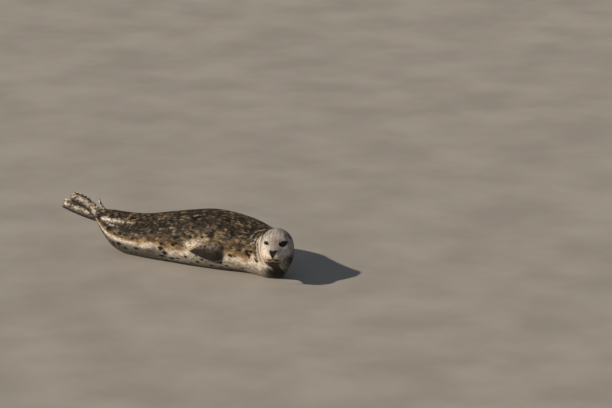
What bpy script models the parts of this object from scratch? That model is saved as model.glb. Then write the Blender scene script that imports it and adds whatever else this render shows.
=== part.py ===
"""Life-size harbor seal, hauled out and resting on its belly, its head turned to its right.

Blender 4.5 script: metres, +Z up, +X from tail to chest, the animal's right side on -Y.
The solids are lofts through named stations. The body is one long loft, parted by thin cuts.
"""

from math import cos, exp, pi, radians, sin

import bmesh
import bpy
import numpy as np
from mathutils import Matrix, Vector

# ---------------------------------------------------------------- driving sizes
GAP = 0.0003  # clearance left between two neighbouring solids
CLAW_SIDES = 6
CLAW_GAP = 0.0007  # between a claw's flat root and the digit's tip
FLOOR = 0.0
SEGMENTS = 36  # facets round the body and head
SADDLE = Vector((0.1543, 0.0200, 0.0))  # floor under the highest point of the back

# Body stations, ankles to nape, measured from SADDLE: x, y, turn of the spine in degrees,
# half width, height of the back, height of the widest level, height of the belly before
# the floor flattens it, and how full the lower half is (1 is an ellipse, less is squarer).
BODY = (
    (-0.668, 0.000, 0.0, 0.036, 0.203, 0.165, 0.128, 1.00),
    (-0.642, 0.000, 0.0, 0.054, 0.200, 0.146, 0.094, 1.00),
    (-0.612, 0.000, 0.0, 0.072, 0.200, 0.128, 0.062, 0.95),
    (-0.582, 0.000, 0.0, 0.087, 0.202, 0.113, 0.034, 0.90),
    (-0.545, 0.000, 0.0, 0.102, 0.200, 0.101, 0.008, 0.85),
    (-0.480, 0.000, 0.0, 0.121, 0.200, 0.092, -0.014, 0.82),
    (-0.400, 0.000, 0.0, 0.139, 0.204, 0.094, -0.018, 0.80),
    (-0.300, 0.000, 0.0, 0.156, 0.221, 0.102, -0.020, 0.80),
    (-0.200, 0.000, 0.0, 0.169, 0.242, 0.110, -0.020, 0.80),
    (-0.100, 0.000, 0.0, 0.179, 0.263, 0.117, -0.020, 0.80),
    (0.000, 0.000, 0.0, 0.185, 0.277, 0.122, -0.020, 0.80),
    (0.080, 0.000, 0.0, 0.185, 0.278, 0.124, -0.020, 0.80),
    (0.160, -0.001, -1.0, 0.178, 0.268, 0.124, -0.018, 0.80),
    (0.240, -0.006, -5.0, 0.165, 0.252, 0.122, -0.016, 0.80),
    (0.310, -0.021, -14.0, 0.146, 0.233, 0.120, -0.016, 0.80),
    (0.366, -0.050, -28.0, 0.123, 0.236, 0.124, -0.016, 0.80),
    (0.408, -0.084, -43.0, 0.105, 0.248, 0.138, -0.014, 0.80),
    (0.440, -0.120, -57.0, 0.093, 0.263, 0.156, -0.006, 0.84),
)

HEAD_CENTRE = Vector((0.488, -0.1812, 0.1816))  # from SADDLE, on the line from nape to nose
HEAD_TURN = -68.6  # degrees, towards the animal's right

# Head stations, measured from HEAD_CENTRE: distance forward, half width, top, widest
# level, bottom and fullness, as above.
HEAD = (
    (-0.028, 0.087, 0.096, 0.000, -0.148, 0.95),
    (0.000, 0.086, 0.100, -0.004, -0.118, 1.00),
    (0.026, 0.083, 0.095, -0.006, -0.096, 1.00),
    (0.048, 0.077, 0.084, -0.008, -0.084, 1.00),
    (0.066, 0.066, 0.069, -0.010, -0.079, 1.00),
    (0.082, 0.055, 0.051, -0.014, -0.075, 1.00),
    (0.097, 0.047, 0.037, -0.018, -0.070, 0.95),
    (0.112, 0.043, 0.030, -0.021, -0.064, 0.90),
    (0.127, 0.040, 0.025, -0.020, -0.055, 0.90),
    (0.139, 0.034, 0.020, -0.018, -0.045, 0.90),
    (0.147, 0.024, 0.013, -0.015, -0.034, 0.95),
    (0.151, 0.010, 0.002, -0.012, -0.022, 1.00),
)

# Where the thin cuts fall, as distances along the loft in stations.
ANKLE, HIPS, LOINS, SHOULDER, NAPE, MUZZLE_ROOT, NOSE = 0.0, 6.5, 10.0, 13.5, 18.5, 23.3, 29.0
FLANK_END = 14  # the flank is straight up to this station
MOUTH_DROP = -0.021  # mouth line below HEAD_CENTRE, at the front of the muzzle
MOUTH_SLOPE = radians(4.0)  # it rises towards the corner

# Relief of the face: distance forward, angle from the crown on either side in degrees,
# reach forward, reach round in degrees, and height.
RELIEF = (
    (0.124, 118.0, 0.017, 34.0, 0.0060),  # whisker pads
    (0.104, 150.0, 0.020, 24.0, 0.0030),  # corners of the chin
    (0.046, 34.0, 0.016, 20.0, 0.0030),  # brows
    (0.070, 42.0, 0.013, 17.0, -0.0050),  # eye hollows
    (0.068, 80.0, 0.021, 26.0, 0.0080),  # cheeks
    (0.144, 20.0, 0.010, 40.0, 0.0030),  # rim of the nose
)
HIP_ROLL = radians(35.0)  # belly turned towards the animal's right, so its right hip is up

EYE_RADIUS = 0.0185
EYE = (0.0550, 0.0355, 0.0355)  # forward, sideways and up from HEAD_CENTRE

DIGITS = (-0.8, -0.4, 0.0, 0.4, 0.8)  # across a flipper's width
FORE_LENGTH = 0.200  # fore flipper to its first digit, the lowest and longest
ACROSS = np.linspace(-1.0, 1.0, 11)

# Finishes: base colour and roughness.
COAT_DARK = ((0.115, 0.095, 0.075), 0.62)
COAT_PALE = ((0.420, 0.365, 0.300), 0.62)
COAT_FACE = ((0.350, 0.315, 0.280), 0.60)
FLIPPER_COAT = ((0.060, 0.048, 0.040), 0.58)
WET_EYE = ((0.006, 0.005, 0.005), 0.08)
HORN = ((0.030, 0.024, 0.020), 0.35)


# ---------------------------------------------------------------- stations
def head_row(row):
    """A head station in the body's terms."""
    forward, half_width, top, widest, bottom, fullness = row
    x = HEAD_CENTRE.x + forward * cos(radians(HEAD_TURN))
    y = HEAD_CENTRE.y + forward * sin(radians(HEAD_TURN))
    z = HEAD_CENTRE.z
    return (x, y, HEAD_TURN, half_width, z + top, z + widest, z + bottom, fullness)


STATIONS = np.array(BODY + tuple(head_row(row) for row in HEAD))


def station(place):
    """Values at a place along the loft, on a Catmull-Rom curve through the stations."""
    last = len(STATIONS) - 1
    first = min(int(place), last - 1)
    part = place - first
    before, start, end, after = STATIONS[np.clip(np.arange(first - 1, first + 3), 0, last)]
    slope = end - before
    bend = 2.0 * before - 5.0 * start + 4.0 * end - after
    twist = 3.0 * (start - end) + after - before
    return start + 0.5 * part * (slope + part * (bend + part * twist))


def heading(turn):
    """Level direction towards the head, at a turn of the spine in degrees."""
    return Vector((cos(radians(turn)), sin(radians(turn)), 0.0))


def section_reach(values, height):
    """Half width of a section at a height."""
    half_width, top, widest, bottom, fullness = values[3:]
    if height >= widest:
        level = min((height - widest) / (top - widest), 1.0)
        return half_width * (1.0 - level * level) ** 0.5
    level = min((widest - height) / (widest - bottom), 1.0) ** (1.0 / fullness)
    return half_width * (1.0 - level * level) ** (0.5 * fullness)


def relief(place, angle):
    """How far the face stands out of its plain loft, at an angle from the crown."""
    if place < len(BODY):
        return 0.0
    forward = float(np.interp(place - len(BODY), np.arange(len(HEAD)), [row[0] for row in HEAD]))
    turn = abs((np.degrees(angle) + 180.0) % 360.0 - 180.0)
    height = 0.0
    for ahead, centre, length, width, rise in RELIEF:
        height += rise * exp(-(((forward - ahead) / length) ** 2) - ((turn - centre) / width) ** 2)
    return height


def section(place, ahead=0.0, swell=0.0):
    """Closed ring of points round the loft, pushed ahead and swollen by the given sizes."""
    x, y, turn, half_width, top, widest, bottom, fullness = station(place)
    way = heading(turn)
    right = Vector((way.y, -way.x, 0.0))
    ring = []
    for step in range(SEGMENTS):
        angle = 2.0 * pi * step / SEGMENTS
        across, up = sin(angle), cos(angle)
        if up >= 0.0:
            reach = half_width * across
            height = widest + (top - widest) * up
        else:
            reach = half_width * abs(across) ** fullness * (1.0 if across > 0.0 else -1.0)
            height = widest - (widest - bottom) * abs(up) ** fullness
        out = swell + relief(place, angle)
        reach += out * across
        height = max(height + out * up, FLOOR - swell)
        point = SADDLE + Vector((x, y, height)) + right * reach + way * ahead
        ring.append(point)
    return ring


# ---------------------------------------------------------------- building
def material(name, finish):
    """Principled finish of one colour."""
    colour, roughness = finish
    made = bpy.data.materials.get(name) or bpy.data.materials.new(name)
    made.use_nodes = True
    shader = made.node_tree.nodes["Principled BSDF"]
    shader.inputs["Base Color"].default_value = (*colour, 1.0)
    shader.inputs["Roughness"].default_value = roughness
    return made


def add_node(name, mesh_data, finish_name, finish):
    """Object of a finished bmesh, facing out and shaded smooth."""
    bmesh.ops.recalc_face_normals(mesh_data, faces=mesh_data.faces)
    mesh = bpy.data.meshes.new(name)
    mesh_data.to_mesh(mesh)
    mesh_data.free()
    mesh.shade_smooth()
    mesh.set_sharp_from_angle(angle=radians(50.0))
    node = bpy.data.objects.new(name, mesh)
    bpy.context.scene.collection.objects.link(node)
    if finish is not None:
        mesh.materials.append(material(finish_name, finish))
    return node


def loft(rings, strip_caps=False):
    """Closed bmesh through rings of equal counts, capped flat or by strips across them."""
    made = bmesh.new()
    rows = [[made.verts.new(point) for point in ring] for ring in rings]
    count = len(rows[0])
    for low, high in zip(rows, rows[1:]):
        for index in range(count):
            after = (index + 1) % count
            made.faces.new((low[index], low[after], high[after], high[index]))
    for row in (rows[0], rows[-1]):
        if not strip_caps:
            made.faces.new(row)
            continue
        half = count // 2
        made.faces.new((row[0], row[1], row[-1]))
        made.faces.new((row[half - 1], row[half], row[half + 1]))
        for index in range(1, half - 1):
            made.faces.new((row[index], row[index + 1], row[-index - 1], row[-index]))
    return made


def body_length(name, start, end, rings, finish_name, finish):
    """One length of the body loft, its front held back by the cut's gap."""
    places = np.linspace(start, end, rings)
    loops = [section(place) for place in places[:-1]]
    loops.append(section(end, ahead=-GAP))
    return add_node(name, loft(loops), finish_name, finish)


def cutter(name, mesh_data):
    """Helper solid for a Boolean, left out of the model."""
    tool = add_node(name, mesh_data, "", None)
    tool.hide_render = True
    tool.display_type = "WIRE"
    return tool


def cut(node, tool):
    """Takes a helper solid's shape out of a node."""
    step = node.modifiers.new("cut_" + tool.name, "BOOLEAN")
    step.operation = "DIFFERENCE"
    step.solver = "EXACT"
    step.object = tool


def keep_side(mesh_data, point, normal):
    """Cuts a closed bmesh by a plane, keeps what lies behind it and closes the cut."""
    everything = mesh_data.verts[:] + mesh_data.edges[:] + mesh_data.faces[:]
    bmesh.ops.bisect_plane(
        mesh_data, geom=everything, dist=1e-6, plane_co=point, plane_no=normal, clear_outer=True
    )
    rim = [edge for edge in mesh_data.edges if edge.is_boundary]
    bmesh.ops.edgeloop_fill(mesh_data, edges=rim)
    return mesh_data


# ---------------------------------------------------------------- body and head
def build_body():
    """Rump, belly, chest and neck."""
    body_length("rump", ANKLE, HIPS, 15, "coat_dark", COAT_DARK)
    body_length("belly", HIPS, LOINS, 9, "coat_mottled", COAT_DARK)
    body_length("chest", LOINS, SHOULDER, 9, "coat_mottled", COAT_DARK)
    body_length("neck", SHOULDER, NAPE, 11, "coat_face", COAT_FACE)


def head_point(forward, sideways, up):
    """Point in the head's own frame; sideways is to the animal's right."""
    way = heading(HEAD_TURN)
    right = Vector((way.y, -way.x, 0.0))
    return SADDLE + HEAD_CENTRE + way * forward + right * sideways + Vector((0.0, 0.0, up))


def muzzle_loft():
    """Front of the head, from the cut before the eyes to the nose."""
    places = np.linspace(MUZZLE_ROOT, NOSE, 12)
    return loft([section(place) for place in places])


def build_head():
    """Head, muzzle and lower jaw, with the eyes seated in it."""
    head = body_length("head", NAPE, MUZZLE_ROOT, 11, "coat_face", COAT_FACE)
    corner = head_point(0.080, 0.0, MOUTH_DROP)
    way = heading(HEAD_TURN)
    up = Vector((0.0, 0.0, 1.0)) * cos(MOUTH_SLOPE) + way * sin(MOUTH_SLOPE)
    half_gap = up * (GAP / 2.0)
    muzzle = keep_side(muzzle_loft(), corner + half_gap, -up)
    add_node("muzzle", muzzle, "coat_face", COAT_FACE)
    jaw = keep_side(muzzle_loft(), corner - half_gap, up)
    add_node("lower_jaw", jaw, "coat_face", COAT_FACE)
    for name, side in (("right", 1.0), ("left", -1.0)):
        forward, sideways, height = EYE
        centre = head_point(forward, side * sideways, height)
        build_eye("eye_" + name, centre, head)


def build_eye(name, centre, head):
    """Eyeball, and the socket that it sits in."""
    for label, radius in ((name, EYE_RADIUS), ("socket_" + name, EYE_RADIUS + GAP)):
        made = bmesh.new()
        bmesh.ops.create_icosphere(made, subdivisions=2, radius=radius, matrix=Matrix.Translation(centre))
        if label == name:
            add_node(name, made, "wet_eye", WET_EYE)
        else:
            cut(head, cutter(label, made))


# ---------------------------------------------------------------- flippers and tail
class Plate:
    """A flat limb: rings of points from root to far edge, on any curved bed."""

    def __init__(self, bed, half_width, half_thickness, reach, rings):
        """Each size is a function of the way along, or across for reach, from 0 or -1 to 1."""
        self.bed = bed
        self.half_width = half_width
        self.half_thickness = half_thickness
        self.reach = reach
        self.rings = rings

    def point(self, along, across, side):
        """Point at a way along, across, and on the side +1 or -1 of the plate."""
        rim = (1.0 - across * across) ** 0.35 if abs(across) < 1.0 else 0.0
        thick = self.half_thickness(along, across) * rim * side
        return self.bed(along * self.reach(across), across * self.half_width(along), thick)

    def ring(self, along):
        """Closed ring of the plate, over the top and back underneath."""
        upper = [self.point(along, across, 1.0) for across in ACROSS]
        under = [self.point(along, across, -1.0) for across in ACROSS[-2:0:-1]]
        return upper + under

    def mesh(self):
        """Closed bmesh of the plate."""
        rows = [self.ring(along) for along in np.linspace(0.0, 1.0, self.rings)]
        return loft(rows, strip_caps=True)


def digit_swell(across):
    """1 on a digit's line and 0 on the web between two."""
    return 0.5 + 0.5 * cos(2.0 * pi * across / 0.4)


def build_claws(prefix, plate, length, radius):
    """A curved claw at the end of each digit."""
    for number, across in enumerate(DIGITS, 1):
        root = plate.point(1.0, across, 1.0).lerp(plate.point(1.0, across, -1.0), 0.5)
        inner = plate.point(0.9, across, 1.0).lerp(plate.point(0.9, across, -1.0), 0.5)
        out = (plate.point(1.0, across, 1.0) - plate.point(1.0, across, -1.0)).normalized()
        way = (root - inner).normalized()
        spread = 1.5 * radius / plate.half_width(1.0)
        edge = max(plate.reach(across - spread), plate.reach(across + spread))
        stand = CLAW_GAP + max(edge - plate.reach(across), 0.0)
        side = way.cross(out).normalized()
        rings = []
        for along in (0.0, 0.4, 0.75, 1.0):
            size = radius * (1.0 - 0.9 * along ** 1.5)
            centre = root + way * (stand + length * along) - out * (length * 0.22 * along * along)
            turns = [2.0 * pi * step / CLAW_SIDES for step in range(CLAW_SIDES)]
            ring = [centre + (side * cos(turn) + out * sin(turn)) * size for turn in turns]
            rings.append([Vector((point.x, point.y, max(point.z, FLOOR))) for point in ring])
        add_node(f"{prefix}_claw_{number}", loft(rings), "claw_horn", HORN)


def flank_point(x, z, out):
    """Point a distance out of the animal's right flank, at a length and height."""

    def skin(length, height):
        place = float(np.interp(length, STATIONS[:FLANK_END, 0], np.arange(FLANK_END)))
        values = station(place)
        return Vector((length, values[1] - section_reach(values, height), height))

    step = 0.004
    along = skin(x + step, z) - skin(x - step, z)
    upward = skin(x, z + step) - skin(x, z - step)
    return SADDLE + skin(x, z) + along.cross(upward).normalized() * out


def build_fore_flippers():
    """Right one folded back on the flank, left one laid back on the floor."""

    def half_width(along):
        palm = min(along / 0.42, 1.0)
        return 0.020 + 0.027 * (1.0 - (1.0 - palm) ** 2) ** 0.5 - 0.022 * along * along

    def half_thickness(along, across):
        shoulder = min(along / 0.20, 1.0)
        palm = 0.0080 * (1.0 - along) * (0.35 + 0.65 * shoulder)
        return palm + 0.0030 + 0.0012 * digit_swell(across) * along

    def reach(across):
        slant = 0.80 - 0.20 * across - 0.02 * across * across
        return FORE_LENGTH * slant + 0.003 * digit_swell(across)

    def right_bed(along, across, thick):
        x = 0.180 - along
        part = min(along / FORE_LENGTH, 1.0)
        z = 0.114 + across + 0.045 * along - 0.004 * sin(pi * part)
        middle = half_thickness(part, 0.0)
        return flank_point(x, z, 0.0016 + middle + thick)

    def left_bed(along, across, thick):
        angle = radians(128.0)
        way = Vector((cos(angle), sin(angle), 0.0))
        side = Vector((-way.y, way.x, 0.0))
        root = Vector((0.150, 0.1115, 0.0095 - 0.034 * along))
        height = max(root.z + thick, FLOOR)
        return SADDLE + Vector((root.x, root.y, height)) + way * along + side * across

    right = Plate(right_bed, half_width, half_thickness, reach, 10)
    add_node("fore_flipper_right", right.mesh(), "flipper_coat", FLIPPER_COAT)
    build_claws("fore_flipper_right", right, 0.014, 0.0024)
    left = Plate(left_bed, half_width, half_thickness, reach, 10)
    flipper = add_node("fore_flipper_left", left.mesh(), "flipper_coat", FLIPPER_COAT)
    rings = [section(place, swell=GAP * 2.0) for place in np.linspace(9.0, 14.0, 13)]
    cut(flipper, cutter("chest_cutter", loft(rings)))
    build_claws("fore_flipper_left", left, 0.014, 0.0024)


def build_hind_flippers():
    """Two fans held up behind the ankles, sole to sole, in the roll of the hips."""
    ankle = SADDLE + Vector((-0.668 - GAP, 0.0, 0.1655))
    dorsal = Vector((0.0, sin(HIP_ROLL), cos(HIP_ROLL)))
    rightward = Vector((0.0, -cos(HIP_ROLL), sin(HIP_ROLL)))

    def half_thickness(along, across):
        return 0.0140 * (1.0 - along) ** 1.6 + 0.0036 + 0.0016 * digit_swell(across) * along

    def fan(name, side, way, length, width, arch, fork, lean):
        out = rightward * side
        root = ankle + out * 0.0181
        way = Vector(way).normalized()

        def half_width(along):
            return 0.034 + (width - 0.034) * along

        def reach(across):
            return length * (0.92 + fork * across * across) + 0.005 * digit_swell(across)

        def bed(along, across, thick):
            rise = arch * sin(pi * min(along / length, 1.0))
            spread = lean * along
            return root + way * along + dorsal * (across + rise) + out * (thick + spread)

        plate = Plate(bed, half_width, half_thickness, reach, 10)
        add_node("hind_flipper_" + name, plate.mesh(), "flipper_coat", FLIPPER_COAT)
        build_claws("hind_flipper_" + name, plate, 0.009, 0.0017)

    fan("right", 1.0, (-0.150, 0.014, 0.056), 0.185, 0.029, 0.018, -0.07, 0.10)
    fan("left", -1.0, (-0.221, -0.010, 0.046), 0.2265, 0.026, -0.006, 0.02, -0.06)


def build_tail():
    """Short flat tail, lifted between the ankles."""
    root = SADDLE + Vector((-0.612, 0.022, 0.172))
    rightward = Vector((0.0, -cos(HIP_ROLL), sin(HIP_ROLL)))

    def bed(along, across, thick):
        rise = radians(22.0) + along * 7.0
        out = Vector((sin(rise), 0.0, cos(rise)))
        lift = Vector((-along * cos(0.75 * rise), 0.0, along * sin(0.75 * rise)))
        return root + lift + rightward * across + out * thick

    def half_width(along):
        return 0.022 - 0.013 * along * along

    def half_thickness(along, across):
        return 0.011 - 0.006 * along

    def reach(across):
        return 0.100 - 0.014 * across * across

    plate = Plate(bed, half_width, half_thickness, reach, 8)
    tail = add_node("tail", plate.mesh(), "coat_dark", COAT_DARK)
    rings = [section(place, swell=GAP * 2.0) for place in np.linspace(ANKLE, 5.0, 11)]
    cut(tail, cutter("rump_cutter", loft(rings)))


def main():
    """Clears the scene and builds the animal."""
    for old in list(bpy.data.objects):
        bpy.data.objects.remove(old, do_unlink=True)
    build_body()
    build_head()
    build_fore_flippers()
    build_hind_flippers()
    build_tail()


main()
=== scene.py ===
"""Visual model of a life-size harbor seal, hauled out on its belly with its head turned.

Metres, +Z up. +X runs from the tail to the chest, and the animal's right side is on -Y.
One skin stands for all the flesh, and short tufts of coat lie over it. The eyes, the claws
and the whiskers are pieces of their own.
"""

import logging
import math
from dataclasses import dataclass
from enum import Enum

import bmesh
import bpy
import numpy as np
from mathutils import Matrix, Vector
from mathutils.kdtree import KDTree


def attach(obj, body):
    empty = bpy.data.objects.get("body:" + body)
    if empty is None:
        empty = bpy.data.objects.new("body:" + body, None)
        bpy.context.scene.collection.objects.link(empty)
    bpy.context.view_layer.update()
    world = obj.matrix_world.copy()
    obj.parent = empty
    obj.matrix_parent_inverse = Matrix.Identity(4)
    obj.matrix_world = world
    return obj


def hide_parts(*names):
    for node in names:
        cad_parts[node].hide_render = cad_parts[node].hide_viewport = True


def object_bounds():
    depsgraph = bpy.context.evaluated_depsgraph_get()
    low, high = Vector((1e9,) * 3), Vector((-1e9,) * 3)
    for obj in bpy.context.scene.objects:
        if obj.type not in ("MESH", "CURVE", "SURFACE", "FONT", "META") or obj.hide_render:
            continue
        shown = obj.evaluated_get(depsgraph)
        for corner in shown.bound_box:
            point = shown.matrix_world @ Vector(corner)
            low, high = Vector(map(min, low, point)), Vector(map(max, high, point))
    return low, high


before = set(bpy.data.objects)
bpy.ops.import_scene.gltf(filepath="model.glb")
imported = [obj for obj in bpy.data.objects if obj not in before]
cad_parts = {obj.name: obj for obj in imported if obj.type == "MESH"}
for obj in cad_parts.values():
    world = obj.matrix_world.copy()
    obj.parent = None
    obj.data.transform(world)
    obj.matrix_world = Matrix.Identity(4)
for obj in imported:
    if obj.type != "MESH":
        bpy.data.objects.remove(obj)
CAD_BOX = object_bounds()
BODY = "root"
LOG = logging.getLogger("harbor_seal")

FAR = 9.0  # more than any distance or ring that is measured

Array = np.ndarray
Piece = bpy.types.Object
Mesh = bpy.types.Mesh
Material = bpy.types.Material
Socket = bpy.types.NodeSocket


# ---------- small helpers
def unit(vectors: Array) -> Array:
    """Vectors scaled to length one, row by row."""
    return vectors / np.maximum(np.linalg.norm(vectors, axis=-1, keepdims=True), 1e-12)


def rise(values: Array, low: float, high: float) -> Array:
    """Smooth step from 0 at low to 1 at high."""
    part = np.clip((values - low) / (high - low), 0.0, 1.0)
    return part * part * (3.0 - 2.0 * part)


def fall(values: Array, low: float, high: float) -> Array:
    """Smooth step from 1 at low to 0 at high."""
    return 1.0 - rise(values, low, high)


def hump(values: Array, centre: float, reach: float) -> Array:
    """Bell of height one round a centre."""
    return np.exp(-(((values - centre) / reach) ** 2))


def ripple(points: Array, pitch: float) -> Array:
    """Smooth uneven field of a few crossed waves.

    Args:
        points: places in space, one per row.
        pitch: typical distance between two crests.

    Returns:
        One value per row, roughly between -1 and 1.
    """
    turn = 2.0 * math.pi / pitch
    ways = ((1.0, 0.3, 0.5), (-0.4, 1.0, 0.6), (0.5, -0.7, 1.0), (0.8, 0.9, -0.3))
    total = sum(
        np.sin(turn * (points @ np.array(way)) + 1.7 * number) for number, way in enumerate(ways)
    )
    return total / len(ways) * 1.4


def level_way(turn: float) -> Array:
    """Level way of length one at an angle from +X."""
    return np.array((math.cos(turn), math.sin(turn), 0.0))


def add_object(name: str, data: bpy.types.ID) -> Piece:
    """New object that shows some data in the scene."""
    made = bpy.data.objects.new(name, data)
    bpy.context.scene.collection.objects.link(made)
    return made


def make_mesh(name: str, points: Array, faces: list) -> Piece:
    """Linked object with a smooth shaded mesh.

    Args:
        name: name of the object and of its mesh.
        points: vertices, one per row.
        faces: corner numbers of each face.

    Returns:
        The new object.
    """
    mesh = bpy.data.meshes.new(name)
    mesh.from_pydata(points.tolist(), [], faces)
    mesh.validate()
    mesh.shade_smooth()
    return add_object(name, mesh)


def read_rows(items: object, key: str, width: int, kind: type = np.float32) -> Array:
    """Numbers of a mesh's vertices, normals, edges or triangles, one row for each."""
    values = np.empty(len(items) * width, kind)
    items.foreach_get(key, values)
    return values.reshape(-1, width)


def mesh_points(mesh: Mesh) -> Array:
    """Vertices of a mesh, one per row."""
    return read_rows(mesh.vertices, "co", 3).astype(float)


def mesh_normals(mesh: Mesh) -> Array:
    """Vertex normals of a mesh, one per row."""
    return read_rows(mesh.vertex_normals, "vector", 3).astype(float)


def mesh_edges(mesh: Mesh) -> Array:
    """The two points of each edge."""
    return read_rows(mesh.edges, "vertices", 2, np.int32)


def set_points(mesh: Mesh, points: Array) -> None:
    """Moves the vertices of a mesh."""
    mesh.vertices.foreach_set("co", points.astype(np.float32).ravel())
    mesh.update()


def add_vectors(mesh: Mesh, name: str, values: Array) -> None:
    """Stores three numbers for each vertex, under a name that the finishes read."""
    layer = mesh.attributes.new(name, "FLOAT_VECTOR", "POINT")
    layer.data.foreach_set("vector", values.astype(np.float32).ravel())


def neighbour_mean(values: Array, ends: Array) -> Array:
    """Mean of each point's neighbours along the edges."""
    total = np.zeros_like(values)
    count = np.zeros(len(values))
    for mine, other in ((0, 1), (1, 0)):
        for column in range(values.shape[1]):
            total[:, column] += np.bincount(ends[:, mine], values[ends[:, other], column], len(values))
        count += np.bincount(ends[:, mine], minlength=len(values))
    return total / np.maximum(count, 1.0)[:, None]


def evened(values: Array, ends: Array, times: int) -> Array:
    """Values moved half way to their neighbours' mean, a number of times."""
    for _ in range(times):
        values = values + 0.5 * (neighbour_mean(values[:, None], ends)[:, 0] - values)
    return values


def face_out(piece: Piece) -> None:
    """Turns all faces of a closed mesh outwards."""
    work = bmesh.new()
    work.from_mesh(piece.data)
    bmesh.ops.recalc_face_normals(work, faces=work.faces)
    work.to_mesh(piece.data)
    work.free()


def band_faces(low: int, high: int, columns: int) -> list:
    """Quads between two rings, each given by its first point."""
    turns = [(column, (column + 1) % columns) for column in range(columns)]
    return [(low + start, low + end, high + end, high + start) for start, end in turns]


def grid_faces(rows: int, columns: int) -> list:
    """Quads of an open tube of rings, numbered ring by ring."""
    firsts = [row * columns for row in range(rows)]
    return [quad for low, high in zip(firsts, firsts[1:]) for quad in band_faces(low, high, columns)]


def rod_faces(rings: int, sides: int) -> list:
    """Faces of a tube with both ends shut."""
    last = (rings - 1) * sides
    return grid_faces(rings, sides) + [tuple(range(sides))[::-1], tuple(range(last, last + sides))]


def rod_points(line: Array, size: Array, beside: Array, above: Array, sides: int) -> Array:
    """Points of a tube round a line, ring by ring.

    Args:
        line: middle of each ring.
        size: radius of each ring.
        beside: half of the ring's width at radius one.
        above: half of its height.
        sides: points in a ring.

    Returns:
        The points, one per row.
    """
    turn = 2.0 * math.pi * np.arange(sides) / sides
    ring = beside * np.cos(turn)[:, None] + above * np.sin(turn)[:, None]
    return (line[:, None] + ring[None] * size[:, None, None]).reshape(-1, 3)


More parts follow.
